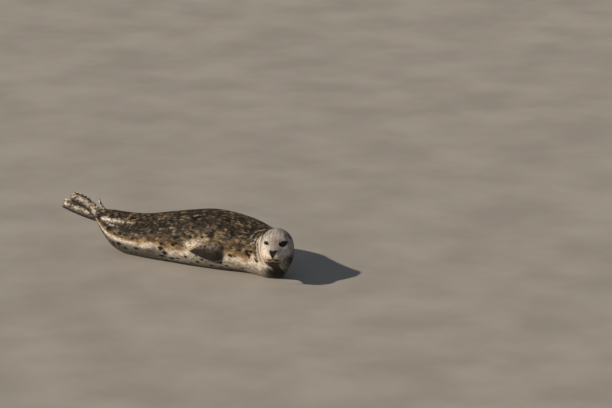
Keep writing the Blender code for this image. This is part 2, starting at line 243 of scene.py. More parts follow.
# ---------- the spine
@dataclass
class Spine:
    """The line from the ankles to the nose, and the section of the animal at each place on it.

    A place is counted in stations. An angle runs from the top of the back towards the
    animal's right side.
    """

    saddle: tuple = (0.1543, 0.0200, 0.0)
    # x, y, turn in degrees, half width, back, widest level, belly, fullness of lower half
    body: tuple = (
        (-0.668, 0.000, 0.0, 0.036, 0.203, 0.165, 0.128, 1.00),
        (-0.642, 0.000, 0.0, 0.054, 0.200, 0.146, 0.094, 1.00),
        (-0.612, 0.000, 0.0, 0.072, 0.200, 0.128, 0.062, 0.95),
        (-0.582, 0.000, 0.0, 0.087, 0.202, 0.113, 0.034, 0.90),
        (-0.545, 0.000, 0.0, 0.102, 0.200, 0.101, 0.008, 0.85),
        (-0.480, 0.000, 0.0, 0.121, 0.200, 0.092, -0.014, 0.82),
        (-0.400, 0.000, 0.0, 0.139, 0.204, 0.094, -0.018, 0.80),
        (-0.300, 0.000, 0.0, 0.156, 0.221, 0.102, -0.020, 0.80),
        (-0.200, 0.000, 0.0, 0.169, 0.242, 0.110, -0.020, 0.80),
        (-0.100, 0.000, 0.0, 0.179, 0.263, 0.117, -0.020, 0.80),
        (0.000, 0.000, 0.0, 0.185, 0.277, 0.122, -0.020, 0.80),
        (0.080, 0.000, 0.0, 0.185, 0.278, 0.124, -0.020, 0.80),
        (0.160, -0.001, -1.0, 0.178, 0.268, 0.124, -0.018, 0.80),
        (0.240, -0.006, -5.0, 0.165, 0.252, 0.122, -0.016, 0.80),
        (0.310, -0.021, -14.0, 0.146, 0.233, 0.120, -0.016, 0.80),
        (0.366, -0.050, -28.0, 0.123, 0.236, 0.124, -0.016, 0.80),
        (0.408, -0.084, -43.0, 0.105, 0.248, 0.138, -0.014, 0.80),
        (0.440, -0.120, -57.0, 0.093, 0.263, 0.156, -0.006, 0.84),
    )
    head_centre: tuple = (0.488, -0.1812, 0.1816)
    head_turn: float = -68.6
    # forward, half width, top, widest level, bottom, fullness, from the head's centre
    head: tuple = (
        (-0.028, 0.087, 0.096, 0.000, -0.148, 0.95),
        (0.000, 0.086, 0.100, -0.004, -0.118, 1.00),
        (0.026, 0.083, 0.095, -0.006, -0.096, 1.00),
        (0.048, 0.077, 0.084, -0.008, -0.084, 1.00),
        (0.066, 0.066, 0.069, -0.010, -0.079, 1.00),
        (0.082, 0.055, 0.051, -0.014, -0.075, 1.00),
        (0.097, 0.047, 0.037, -0.018, -0.070, 0.95),
        (0.112, 0.043, 0.030, -0.021, -0.064, 0.90),
        (0.127, 0.040, 0.025, -0.020, -0.055, 0.90),
        (0.139, 0.034, 0.020, -0.018, -0.045, 0.90),
        (0.147, 0.024, 0.013, -0.015, -0.034, 0.95),
        (0.151, 0.010, 0.002, -0.012, -0.022, 1.00),
    )
    # forward, angle from the crown, reach forward, reach round, height
    relief: tuple = (
        (0.124, 118.0, 0.017, 34.0, 0.0060),
        (0.104, 150.0, 0.020, 24.0, 0.0030),
        (0.046, 34.0, 0.016, 20.0, 0.0030),
        (0.070, 42.0, 0.013, 17.0, -0.0050),
        (0.068, 80.0, 0.021, 26.0, 0.0080),
        (0.144, 20.0, 0.010, 40.0, 0.0030),
    )
    nape: float = 18.0  # first station of the head
    nose: float = 29.0
    floor: float = 0.0004  # lowest level of the skin

    def __post_init__(self) -> None:
        """Puts body and head in one table of stations."""
        turn = math.radians(self.head_turn)
        centre = self.head_centre
        rows = list(self.body)
        for forward, half, top, widest, bottom, fullness in self.head:
            x, y = centre[0] + forward * math.cos(turn), centre[1] + forward * math.sin(turn)
            levels = (centre[2] + top, centre[2] + widest, centre[2] + bottom)
            rows.append((x, y, self.head_turn, half, *levels, fullness))
        self.stations = np.array(rows)

    def values(self, place: Array) -> Array:
        """Station values at each place, on a smooth curve through the stations."""
        last = len(self.stations) - 1
        first = np.clip(place.astype(int), 0, last - 1)
        part = (place - first)[..., None]
        near = [self.stations[np.clip(first + step, 0, last)] for step in (-1, 0, 1, 2)]
        before, start, end, after = near
        bend = 2.0 * before - 5.0 * start + 4.0 * end - after
        twist = 3.0 * (start - end) + after - before
        return start + 0.5 * part * (end - before + part * (bend + part * twist))

    def axes(self, place: Array) -> tuple:
        """Centre on the floor, level way towards the nose, and way to the right, at each place."""
        row = self.values(place)
        turn = np.radians(row[..., 2])
        flat = np.zeros_like(turn)
        centre = np.stack((row[..., 0], row[..., 1], flat), -1) + np.array(self.saddle)
        way = np.stack((np.cos(turn), np.sin(turn), flat), -1)
        right = np.stack((way[..., 1], -way[..., 0], flat), -1)
        return centre, way, right

    def forward(self, place: Array) -> Array:
        """Distance ahead of the head's centre, for places on the head."""
        return np.interp(place - self.nape, np.arange(len(self.head)), [row[0] for row in self.head])

    def place_ahead(self, forward: float) -> float:
        """Place on the head at a distance ahead of its centre."""
        ahead = [row[0] for row in self.head]
        return self.nape + float(np.interp(forward, ahead, np.arange(len(self.head))))

    def face_relief(self, place: Array, angle: Array) -> Array:
        """How far the face stands out of its plain section."""
        forward = self.forward(place)
        turn = np.abs((np.degrees(angle) + 180.0) % 360.0 - 180.0)
        out = np.zeros_like(turn)
        for ahead, centre, length, width, height in self.relief:
            out += height * hump(forward, ahead, length) * hump(turn, centre, width)
        return np.where(place >= self.nape, out, 0.0)

    def surface(self, place: Array, angle: Array, swell: Array) -> Array:
        """Points on the animal's outside, swollen out or in.

        Args:
            place: places along the spine.
            angle: angles round it, of the same shape.
            swell: distance out of the outside, of the same shape or one number.

        Returns:
            A point for each place.
        """
        _, _, _, half, top, widest, bottom, fullness = np.moveaxis(self.values(place), -1, 0)
        centre, _, right = self.axes(place)
        across, up = np.sin(angle), np.cos(angle)
        lower = up < 0.0
        level = np.abs(up) ** np.where(lower, fullness, 1.0)
        reach = half * np.sign(across) * np.abs(across) ** np.where(lower, fullness, 1.0)
        height = np.where(lower, widest - (widest - bottom) * level, widest + (top - widest) * level)
        out = swell + self.face_relief(place, angle)
        height = np.maximum(height + out * up, self.floor)
        points = centre + right * (reach + out * across)[..., None]
        points[..., 2] = height
        return points

    def spread(self, start: float, end: float, step: float) -> Array:
        """Places from start to end whose rings lie about a step apart."""
        fine = np.linspace(start, end, 3000)
        quarters = [self.surface(fine, np.full_like(fine, turn), 0.0) for turn in (0.0, 1.6, 3.1, 4.7)]
        moved = sum(np.linalg.norm(np.diff(row, axis=0), axis=1) for row in quarters) / 4.0
        length = np.concatenate(([0.0], np.cumsum(moved)))
        count = max(int(round(length[-1] / step)), 2)
        return np.interp(np.linspace(0.0, length[-1], count + 1), length, fine)

    def lengths(self, place: Array) -> Array:
        """Distance of each place from the ankles, along the spine."""
        fine = np.linspace(0.0, self.nose, 1200)
        centre = self.axes(fine)[0]
        moved = np.linalg.norm(np.diff(centre, axis=0), axis=1)
        return np.interp(place, fine, np.concatenate(([0.0], np.cumsum(moved))))

    def locate(self, points: Array) -> tuple:
        """Where points on or near the animal's outside lie.

        Args:
            points: places in space, one per row.

        Returns:
            The place along the spine and the angle round it, for each point.
        """
        fine = np.linspace(0.0, self.nose, 400)
        line = self.axes(fine)[0][:, :2]
        place = np.empty(len(points))
        for start in range(0, len(points), 20000):
            part = points[start : start + 20000, None, :2] - line[None]
            place[start : start + 20000] = fine[np.argmin((part**2).sum(-1), axis=1)]
        step = 0.01
        for _ in range(5):
            centre, way, _ = self.axes(place)
            ahead = self.axes(np.minimum(place + step, self.nose))[0]
            behind = self.axes(np.maximum(place - step, 0.0))[0]
            speed = ((ahead - behind) * way).sum(-1) / (2.0 * step)
            offset = points - centre
            offset[:, 2] = 0.0
            move = (offset * way).sum(-1) / np.maximum(speed, 1e-4)
            place = np.clip(place + np.clip(move, -1.0, 1.0), 0.0, self.nose)
        _, _, _, half, top, widest, bottom, fullness = self.values(place).T
        centre, _, right = self.axes(place)
        reach = ((points - centre) * right).sum(-1) / half
        level = points[:, 2] - widest
        lower = level < 0.0
        power = np.where(lower, 1.0 / fullness, 1.0)
        across = np.sign(reach) * np.abs(reach) ** power
        span = np.where(lower, widest - bottom, top - widest)
        up = np.where(lower, -1.0, 1.0) * np.abs(level / span) ** power
        return place, np.arctan2(across, up)

    def from_saddle(self, offset: tuple) -> Array:
        """Point at an offset from the saddle."""
        return np.array(self.saddle) + np.array(offset)

    def head_axes(self) -> tuple:
        """Centre of the head, its way forward and its way to the right."""
        way = level_way(math.radians(self.head_turn))
        return self.from_saddle(self.head_centre), way, np.array((way[1], -way[0], 0.0))

    def head_point(self, forward: float, sideways: float, up: float) -> Array:
        """Point in the head's own frame. Sideways is to the animal's right."""
        centre, way, right = self.head_axes()
        return centre + way * forward + right * sideways + np.array((0.0, 0.0, up))

    def head_frame(self, points: Array) -> tuple:
        """Forward, sideways and up distances of points from the head's centre."""
        centre, way, right = self.head_axes()
        offset = points - centre
        return offset @ way, offset @ right, offset[:, 2]


# ---------- limbs
class Side(Enum):
    """The animal's own right or left."""

    RIGHT = "right"
    LEFT = "left"

    @property
    def sign(self) -> float:
        """1 on the right and -1 on the left."""
        return 1.0 if self is Side.RIGHT else -1.0


DIGITS = (-0.8, -0.4, 0.0, 0.4, 0.8)  # across a flipper's width


def digit_swell(across: Array) -> Array:
    """1 on a digit's line and 0 on the web between two."""
    return 0.5 + 0.5 * np.cos(2.0 * math.pi * across / 0.4)


@dataclass
class Plate:
    """A flat limb on a curved bed. Ways along and across run from 0 or -1 to 1."""

    spine: Spine
    side: Side
    coat: float = 0.0005  # depth of the coat on the limb
    sunk: float = -0.16  # start of the limb, inside the body
    rows: int = 54
    columns: int = 30

    name = "plate"

    def half_width(self, along: Array) -> Array:
        """Half width at a way along."""
        raise NotImplementedError

    def half_thickness(self, along: Array, across: Array) -> Array:
        """Half thickness at a way along and across."""
        raise NotImplementedError

    def reach(self, across: Array) -> Array:
        """Length of the limb at a way across."""
        raise NotImplementedError

    def bed(self, along: Array, across: Array, thick: Array) -> Array:
        """Points at distances along, across and out of the bed, in metres."""
        raise NotImplementedError

    def points(self, along: Array, across: Array, face: float) -> Array:
        """Points on one face of the limb, rounded at its sides and its free edge."""
        rim = np.maximum(1.0 - across * across, 0.0) ** 0.35
        edge = np.sqrt(np.maximum(1.0 - (np.maximum(along - 0.965, 0.0) / 0.036) ** 2, 0.02))
        thick = (self.half_thickness(along, across) - self.coat) * rim * edge * face
        return self.bed(along * self.reach(across), across * self.half_width(along), thick)

    def mesh(self) -> tuple:
        """Closed tube of the limb.

        Returns:
            Points, faces, and the way along and across of each point.
        """
        along = 1.0 - (1.0 - self.sunk) * (1.0 - np.linspace(0.0, 1.0, self.rows) ** 0.9)
        along[-4:] = (0.975, 0.988, 0.996, 1.0)
        across = np.sin(np.linspace(-math.pi / 2.0, math.pi / 2.0, self.columns + 1))
        ways = np.concatenate((across, across[-2:0:-1]))
        face = np.concatenate((np.ones(len(across)), -np.ones(len(across) - 2)))
        grid_along = np.repeat(along, len(ways))
        grid_across = np.tile(ways, len(along))
        points = self.points(grid_along, grid_across, np.tile(face, len(along)))
        faces = grid_faces(len(along), len(ways))
        last = (len(along) - 1) * len(ways)
        for first in (0, last):
            faces += self.cap(first, len(ways), first == last)
        return points, faces, grid_along, grid_across

    @staticmethod
    def cap(first: int, count: int, outer: bool) -> list:
        """Strips across the flat end of the tube, from its ring's first point."""
        half = count // 2
        strips = [(0, 1, count - 1), (half - 1, half, half + 1)]
        strips += [(step, step + 1, count - step - 1, count - step) for step in range(1, half - 1)]
        turned = [strip if outer else strip[::-1] for strip in strips]
        return [tuple(first + corner for corner in strip) for strip in turned]

    def claw_base(self, across: float) -> tuple:
        """Where a claw starts, its way out and the limb's own upward way there."""
        ways = np.array((1.0, 0.9))
        spread = np.full(2, across)
        upper, under = self.points(ways, spread, 1.0), self.points(ways, spread, -1.0)
        root, inner = (upper + under) / 2.0
        way = unit(root - inner)
        flat = self.points(np.array((0.9, 0.9)), spread, np.array((1.0, -1.0)))
        return root, way, unit(flat[0] - flat[1])


@dataclass
class ForeFlipper(Plate):
    """Fore flipper: the right one folded back on the flank, the left one laid on the floor."""

    length: float = 0.200  # to the first digit, the lowest and longest
    width: float = 0.027
    shoulder: float = 0.020
    sunk: float = -0.06
    right_root: tuple = (0.180, 0.114)  # x and height of the root on the flank
    right_rise: float = 0.045
    clearance: float = 0.0016
    left_root: tuple = (0.150, 0.1115, 0.0095)
    left_turn: float = 128.0

    name = "fore_flipper"

    def half_width(self, along: Array) -> Array:
        """Narrow at the shoulder, full at the palm, drawn in towards the claws."""
        part = np.clip(along / 0.42, 0.0, 1.0)
        round_part = np.sqrt(1.0 - (1.0 - part) ** 2)
        return self.shoulder + self.width * round_part - 0.022 * np.clip(along, 0.0, 1.0) ** 2

    def half_thickness(self, along: Array, across: Array) -> Array:
        """Thick palm, thin fingers."""
        inner = np.clip(along, 0.0, 1.0)
        palm = 0.0080 * (1.0 - inner) * (0.35 + 0.65 * np.clip(inner / 0.20, 0.0, 1.0))
        return palm + 0.0030 + 0.0012 * digit_swell(across) * inner

    def reach(self, across: Array) -> Array:
        """The digits grow shorter from the first to the fifth."""
        slant = 0.80 - 0.20 * across - 0.02 * across * across
        return self.length * slant + 0.003 * digit_swell(across)

    def bed(self, along: Array, across: Array, thick: Array) -> Array:
        """The flank on the right, and the floor on the left."""
        if self.side is Side.LEFT:
            way = level_way(math.radians(self.left_turn))
            beside = np.array((-way[1], way[0], 0.0))
            root = self.spine.from_saddle(self.left_root)
            points = root + along[..., None] * way + across[..., None] * beside
            points[..., 2] = np.maximum(points[..., 2] - 0.034 * along + thick, self.spine.floor)
            return points
        x = self.right_root[0] - along
        part = np.clip(along / self.length, 0.0, 1.0)
        z = self.right_root[1] + across + self.right_rise * along - 0.004 * np.sin(math.pi * part)
        middle = self.half_thickness(part, np.zeros_like(along))
        sink = 0.0105 * fall(along, -0.004, 0.070) + 0.016 * rise(-along, 0.0, 0.010)
        return self.flank(x, z, self.clearance + middle + thick - sink)

    def flank(self, x: Array, z: Array, out: Array) -> Array:
        """Points a distance out of the animal's right side.

        Args:
            x: length ahead of the saddle.
            z: height.
            out: distance from the skin.

        Returns:
            A point for each.
        """
        reach_to = 14

        def skin(length: Array, height: Array) -> Array:
            """Points of the right side, from the saddle."""
            lengths = self.spine.stations[:reach_to, 0]
            row = self.spine.values(np.interp(length, lengths, np.arange(reach_to, dtype=float)))
            _, y, _, half, top, widest, bottom, fullness = np.moveaxis(row, -1, 0)
            lower = height < widest
            level = np.abs(height - widest) / np.where(lower, widest - bottom, top - widest)
            level = np.minimum(level, 1.0) ** np.where(lower, 1.0 / fullness, 1.0)
            reach = half * (1.0 - level**2) ** np.where(lower, 0.5 * fullness, 0.5)
            return np.stack((length, y - reach, height), -1)

        step = 0.004
        along = skin(x + step, z) - skin(x - step, z)
        upward = skin(x, z + step) - skin(x, z - step)
        normal = unit(np.cross(along, upward))
        return np.array(self.spine.saddle) + skin(x, z) + normal * out[..., None]


@dataclass
class HindFlipper(Plate):
    """A fan behind the ankles, held up sole to sole with its fellow, in the roll of the hips."""

    way: tuple = (-0.150, 0.014, 0.056)
    length: float = 0.185
    width: float = 0.029
    arch: float = 0.018
    fork: float = -0.07
    lean: float = 0.10
    roll: float = 35.0
    apart: float = 0.0181
    ankle: tuple = (-0.6683, 0.0, 0.1655)
    ankle_width: float = 0.034

    name = "hind_flipper"

    def half_width(self, along: Array) -> Array:
        """A fan that opens evenly."""
        return self.ankle_width + (self.width - self.ankle_width) * along

    def half_thickness(self, along: Array, across: Array) -> Array:
        """Thick ankle, thin web, raised digits."""
        inner = np.clip(along, 0.0, 1.0)
        return 0.0140 * (1.0 - inner) ** 1.6 + 0.0036 + 0.0016 * digit_swell(across) * inner

    def reach(self, across: Array) -> Array:
        """Free edge, bowed or forked, and drawn out at each digit."""
        return self.length * (0.92 + self.fork * across**2) + 0.005 * digit_swell(across)

    def bed(self, along: Array, across: Array, thick: Array) -> Array:
        """An arched plane that leans away from the other fan."""
        turn = math.radians(self.roll)
        dorsal = np.array((0.0, math.sin(turn), math.cos(turn)))
        out = np.array((0.0, -math.cos(turn), math.sin(turn))) * self.side.sign
        way = unit(np.array(self.way))
        root = self.spine.from_saddle(self.ankle) + out * self.apart
        lift = self.arch * np.sin(math.pi * np.clip(along / self.length, 0.0, 1.0))
        points = root + along[..., None] * way + (across + lift)[..., None] * dorsal
        return points + (thick + self.lean * along)[..., None] * out


@dataclass
class Tail(Plate):
    """Short flat tail, lifted between the ankles."""

    sunk: float = 0.0
    rows: int = 30
    columns: int = 20
    root: tuple = (-0.612, 0.022, 0.172)
    roll: float = 35.0

    name = "tail"

    def half_width(self, along: Array) -> Array:
        """Narrows towards the tip."""
        return 0.022 - 0.013 * along**2

    def half_thickness(self, along: Array, across: Array) -> Array:
        """Thins towards the tip."""
        return 0.011 - 0.006 * along

    def reach(self, across: Array) -> Array:
        """Rounded tip."""
        return 0.100 - 0.014 * across**2

    def bed(self, along: Array, across: Array, thick: Array) -> Array:
        """A bed that curls up."""
        turn = math.radians(self.roll)
        rightward = np.array((0.0, -math.cos(turn), math.sin(turn)))
        climb = math.radians(22.0) + along * 7.0
        flat = np.zeros_like(climb)
        out = np.stack((np.sin(climb), flat, np.cos(climb)), -1)
        lift = np.stack((-along * np.cos(0.75 * climb), flat, along * np.sin(0.75 * climb)), -1)
        root = self.spine.from_saddle(self.root)
        return root + lift + across[..., None] * rightward + thick[..., None] * out


# ---------- face
@dataclass(frozen=True)
class EyeSeat:
    """One eyeball and the slit between its lids, in the head's own frame."""

    side: Side
    half_slit: float  # half length of the slit, as an angle at the ball's centre
    half_gape: float  # half opening of the slit, as an angle
    centre: tuple = (0.0550, 0.0355, 0.0355)
    radius: float = 0.0185
    gaze: tuple = (0.78, 0.45, 0.36)
    tilt: float = -15.0  # degrees; the corner towards the nose is the lower one

    def seat(self, spine: Spine) -> tuple:
        """Centre of the ball, its way out, the way to the nose corner and the way up the lids."""
        forward, sideways, up = self.centre
        middle = spine.head_point(forward, sideways * self.side.sign, up)
        _, way, right = spine.head_axes()
        forward, sideways, up = self.gaze
        out = unit(way * forward + right * sideways * self.side.sign + np.array((0.0, 0.0, up)))
        level = unit(np.cross(out, (0.0, 0.0, 1.0))) * self.side.sign
        level = level * -np.sign(level @ right * self.side.sign)
        upward = np.cross(out, level)
        upward = upward * np.sign(upward[2])
        turn = math.radians(self.tilt)
        corner = level * math.cos(turn) + upward * math.sin(turn)
        return middle, out, corner, unit(upward - corner * (upward @ corner))

    def openness(self, spine: Spine, points: Array) -> tuple:
        """Where points lie round the eye.

        Args:
            spine: the animal's spine.
            points: places near the head, one per row.

        Returns:
            Rings counted from the slit, 1 at the edge of the lids, then the distance from the
            ball's centre, the outward way there, and the height over the slit as an angle.
        """
        middle, out, corner, upward = self.seat(spine)
        offset = points - middle
        distance = np.linalg.norm(offset, axis=1)
        away = unit(offset)
        ahead = away @ out
        beside = np.arctan2(away @ corner, ahead)
        above = np.arctan2(away @ upward, ahead)
        ring = np.sqrt((beside / self.half_slit) ** 2 + (above / self.half_gape) ** 2)
        return np.where(ahead > 0.0, ring, FAR), distance, away, above


@dataclass
class Face:
    """Lids, nostrils, mouth, whisker pads, ears and the folds behind the head."""

    spine: Spine
    eyes: tuple = (
        EyeSeat(Side.RIGHT, half_slit=0.60, half_gape=0.36),
        EyeSeat(Side.LEFT, half_slit=0.88, half_gape=0.54),
    )
    lid: float = 0.0012  # thickness of a lid over the ball
    lid_fillet: float = 0.0030  # softness of the line where a lid leaves the ball
    # sideways and up, from the outer end of a nostril down to the middle of the nose
    nostril: tuple = ((0.0245, 0.0215), (0.0195, 0.0190), (0.0110, 0.0060), (0.0030, -0.0115))
    nostril_depth: float = 0.0070
    # sideways and up, along the lower edge of the black nose
    nose_edge: tuple = ((0.0, -0.0135), (0.003, -0.0115), (0.0110, 0.0060), (0.0245, 0.0215))
    mouth_up: float = -0.0215
    lip_groove: float = 0.0042
    pad_swell: float = 0.0022
    pad_fold: float = 0.0024
    philtrum_depth: float = 0.0022
    pore_rim: float = 0.0007
    ear: tuple = (0.000, 0.0725, 0.0525)
    ear_rim: float = 0.0010
    ear_depth: float = 0.0070
    chin_fold: float = 0.0020
    pad_rows: int = 6
    pad_columns: int = 6
    neck_folds: tuple = (14.2, 14.9, 15.5, 16.05, 16.6)
    # angle from the crown and place of the first ruff of loose skin behind the cheek
    ruff_line: tuple = (
        (60.0, 17.05), (83.0, 17.20), (102.0, 17.36), (121.0, 17.54), (138.0, 17.95), (150.0, 18.80),
    )
    # shift along the neck, height and reach of each ridge or crease of the ruff
    ruff: tuple = (
        (-0.26, -0.0034, 0.10), (0.0, 0.0036, 0.14), (0.24, -0.0034, 0.07), (0.50, 0.0034, 0.15),
        (0.85, -0.0036, 0.12),
    )

    def nostril_distance(self, sideways: Array, up: Array) -> Array:
        """Distance from the line of the nearer nostril, seen from ahead."""
        best = np.full(len(up), FAR)
        for start, end in zip(self.nostril, self.nostril[1:]):
            start, end = np.array(start), np.array(end)
            step = end - start
            offset = np.stack((np.abs(sideways), up), -1) - start
            part = np.clip(offset @ step / (step @ step), 0.0, 1.0)
            best = np.minimum(best, np.linalg.norm(offset - part[:, None] * step, axis=1))
        return best

    def mouth_height(self, forward: Array, sideways: Array, up: Array) -> Array:
        """Height over the line between the lips, which dips under each whisker pad."""
        dip = 0.0045 * rise(np.abs(sideways), 0.001, 0.014)
        corner = 0.0040 * rise(0.112 - forward, 0.0, 0.030)
        corner = corner - 0.20 * np.clip(0.140 - forward, 0.0, 0.050)
        return up - (self.mouth_up - dip + corner)

    def philtrum(self, forward: Array, up: Array) -> Array:
        """Where the groove from the nose to the lips runs, from 0 to 1."""
        return rise(forward, 0.132, 0.142) * rise(up, -0.025, -0.021) * fall(up, -0.013, -0.009)

    def ear_point(self, side: Side) -> Array:
        """Middle of the opening of an ear."""
        forward, sideways, up = self.ear
        return self.spine.head_point(forward, sideways * side.sign, up)

    def pad_edge(self, forward: Array, turn: Array) -> Array:
        """Strength of the fold behind each whisker pad."""
        return hump(forward - 0.0003 * (turn - 98.0), 0.106, 0.0045) * hump(turn, 92.0, 30.0)

    def follicles(self, side: Side) -> Array:
        """Roots of the whiskers on one pad, in rows that fan back from the nose."""
        roots = []
        for row in range(self.pad_rows):
            part = row / (self.pad_rows - 1.0)
            for column in range(self.pad_columns - (row in (0, self.pad_rows - 1)) * 2):
                forward = 0.138 - 0.0068 * column - 0.0035 * abs(part - 0.55)
                angle = math.radians(82.0 + 58.0 * part + 1.5 * column) * side.sign
                place = np.array([self.spine.place_ahead(forward)])
                roots.append(self.spine.surface(place, np.array([angle]), -0.001)[0])
        return np.array(roots)

    def brow_roots(self, side: Side) -> Array:
        """Roots of the few stiff hairs over an eye."""
        places = [self.spine.place_ahead(forward) for forward in (0.050, 0.056, 0.062, 0.068)]
        angles = np.radians((24.0, 21.0, 20.0, 21.0)) * side.sign
        return self.spine.surface(np.array(places), angles, np.full(4, -0.001))

    def heights(self, points: Array, place: Array, angle: Array) -> Array:
        """How far each point moves out along its normal, for all but lids and nostrils.

        Args:
            points: points of the skin, one per row.
            place: place of each along the spine.
            angle: angle of each round it.

        Returns:
            A distance for each point.
        """
        forward, sideways, up = self.spine.head_frame(points)
        ahead = rise(forward, 0.094, 0.110)
        lips = self.mouth_height(forward, sideways, up)
        out = -self.lip_groove * hump(lips, 0.0, 0.0015) * ahead
        out += (0.0013 * hump(lips, 0.0055, 0.0040) + 0.0010 * hump(lips, -0.0042, 0.0030)) * ahead
        turn = np.abs(np.degrees(angle))
        out += self.pad_swell * hump(forward, 0.127, 0.012) * hump(turn, 98.0, 26.0)
        out -= self.pad_fold * self.pad_edge(forward, turn)
        out -= self.philtrum_depth * hump(sideways, 0.0, 0.0015) * self.philtrum(forward, up)
        for side in Side:
            roots = self.follicles(side)
            gap = np.full(len(points), FAR)
            close = (forward > 0.085) & (sideways * side.sign > 0.0)
            for root in roots:
                reach = np.linalg.norm(points[close] - root, axis=1)
                gap[close] = np.minimum(gap[close], reach)
            out += self.pore_rim * (hump(gap, 0.0, 0.0021) - hump(gap, 0.0, 0.0007))
            gap = np.linalg.norm(points - self.ear_point(side), axis=1)
            out += self.ear_rim * hump(gap, 0.0065, 0.0025)
            out -= self.ear_depth * hump(gap, 0.0, 0.0032)
        return out + self.folds(place, np.degrees(angle))

    def folds(self, place: Array, turn: Array) -> Array:
        """Folds of loose skin on the inner side of the bent neck and under the chin."""
        out = np.zeros_like(place)
        for number, centre in enumerate(self.neck_folds):
            drift = 0.10 * np.sin(np.radians(turn) * 2.0 + number)
            deep = 0.0014 + 0.0010 * (number % 2)
            middle = 84.0 + 9.0 * math.sin(3.0 * number)
            out -= deep * hump(place + drift, centre, 0.13) * hump(turn, middle, 40.0)
        for shift, height, reach in self.ruff:
            run = place - np.interp(np.abs(turn), *zip(*self.ruff_line)) - shift
            side = np.where(turn > 0.0, 1.0, 0.45) * hump(np.abs(turn), 104.0, 42.0)
            out += height * hump(run, 0.0, reach) * side
        out -= self.chin_fold * hump(place, 19.9, 0.14) * hump(turn, 150.0, 26.0)
        return out

    def press_nostrils(self, points: Array) -> Array:
        """Pushes the slits of the nostrils into the nose."""
        forward, sideways, up = self.spine.head_frame(points)
        gap = self.nostril_distance(sideways, up)
        ahead = rise(forward, 0.112, 0.124)
        deep = self.nostril_depth * hump(gap, 0.0, 0.0016) - 0.0011 * hump(gap, 0.0042, 0.0020)
        _, way, _ = self.spine.head_axes()
        return points - way * (deep * ahead)[:, None]

    def fit_lids(self, points: Array) -> Array:
        """Lays the lids on the balls of the eyes and opens the slits."""
        for eye in self.eyes:
            ring, distance, away, above = eye.openness(self.spine, points)
            outer = eye.radius + self.lid
            over = distance - outer
            wanted = outer + 0.5 * (over + np.sqrt(over**2 + self.lid_fillet**2))
            crease = np.where(above > 0.0, 1.0, 0.5) * 0.0010 * hump(ring, 1.62, 0.14)
            wanted = wanted - crease + 0.0004 * hump(ring, 1.18, 0.10)
            inside = eye.radius - 0.0035
            wanted = inside + (wanted - inside) * rise(ring, 0.95, 1.08)
            near = (ring < FAR) & (distance < 0.036)
            move = np.where(near, wanted - distance, 0.0)
            points = points + away * move[:, None]
        return points

    def masks(self, points: Array, place: Array) -> tuple:
        """Black skin and bare skin round the eyes, the nose, the mouth and the ears.

        Args:
            points: places on the skin, one per row.
            place: place of each along the spine.

        Returns:
            How black and how bare each point is, from 0 to 1.
        """
        forward, sideways, up = self.spine.head_frame(points)
        gap = self.nostril_distance(sideways, up)
        ahead = rise(forward, 0.116, 0.126)
        inner = up - np.interp(np.abs(sideways), *zip(*self.nose_edge))
        pad = rise(inner, -0.0015, 0.0015) * fall(np.abs(sideways), 0.0225, 0.0260)
        pad = pad * fall(up, 0.0200, 0.0235) * ahead
        black = np.maximum(pad, ahead * hump(gap, 0.0, 0.0030))
        bare = np.maximum(pad, ahead * fall(gap, 0.0020, 0.0042))
        lips = self.mouth_height(forward, sideways, up)
        lip = rise(forward, 0.100, 0.126) * (1.0 - 0.75 * rise(np.abs(sideways), 0.023, 0.035))
        thick = 0.0046 + 0.0032 * hump(np.abs(sideways), 0.018, 0.008)
        black = np.maximum(black, 0.97 * lip * hump(lips / thick, 0.0, 1.0))
        bare = np.maximum(bare, lip * fall(np.abs(lips), 0.0020, 0.0040))
        black = np.maximum(black, 0.85 * self.philtrum(forward, up) * hump(sideways, 0.0, 0.0021))
        for eye in self.eyes:
            ring, distance, _, _ = eye.openness(self.spine, points)
            close = distance < 0.034
            black = np.maximum(black, close * fall(ring, 1.18, 1.55))
            bare = np.maximum(bare, close * fall(ring, 1.10, 1.24))
            gap = np.linalg.norm(points - self.ear_point(eye.side), axis=1)
            black = np.maximum(black, 0.96 * fall(gap, 0.0040, 0.0070))
            bare = np.maximum(bare, fall(gap, 0.0036, 0.0056))
            for root in self.follicles(eye.side):
                spot = np.linalg.norm(points - root, axis=1)
                black = np.maximum(black, 0.85 * hump(spot, 0.0, 0.0017))
        on_head = place > 17.5
        return black * on_head, bare * on_head


# ---------- markings
class Tint(Enum):
    """Colour of a listed mark."""

    PALE = "pale"
    DARK = "dark"


@dataclass(frozen=True)
class Mark:
    """A patch on the coat: place and angle in degrees, reach along and round in metres."""

    tint: Tint
    place: float
    turn: float
    along: float
    round: float
    strength: float = 1.0


def marks_of(tint: Tint, *rows: tuple) -> tuple:
    """Marks of one tint, from rows of their other values."""
    return tuple(Mark(tint, *row) for row in rows)


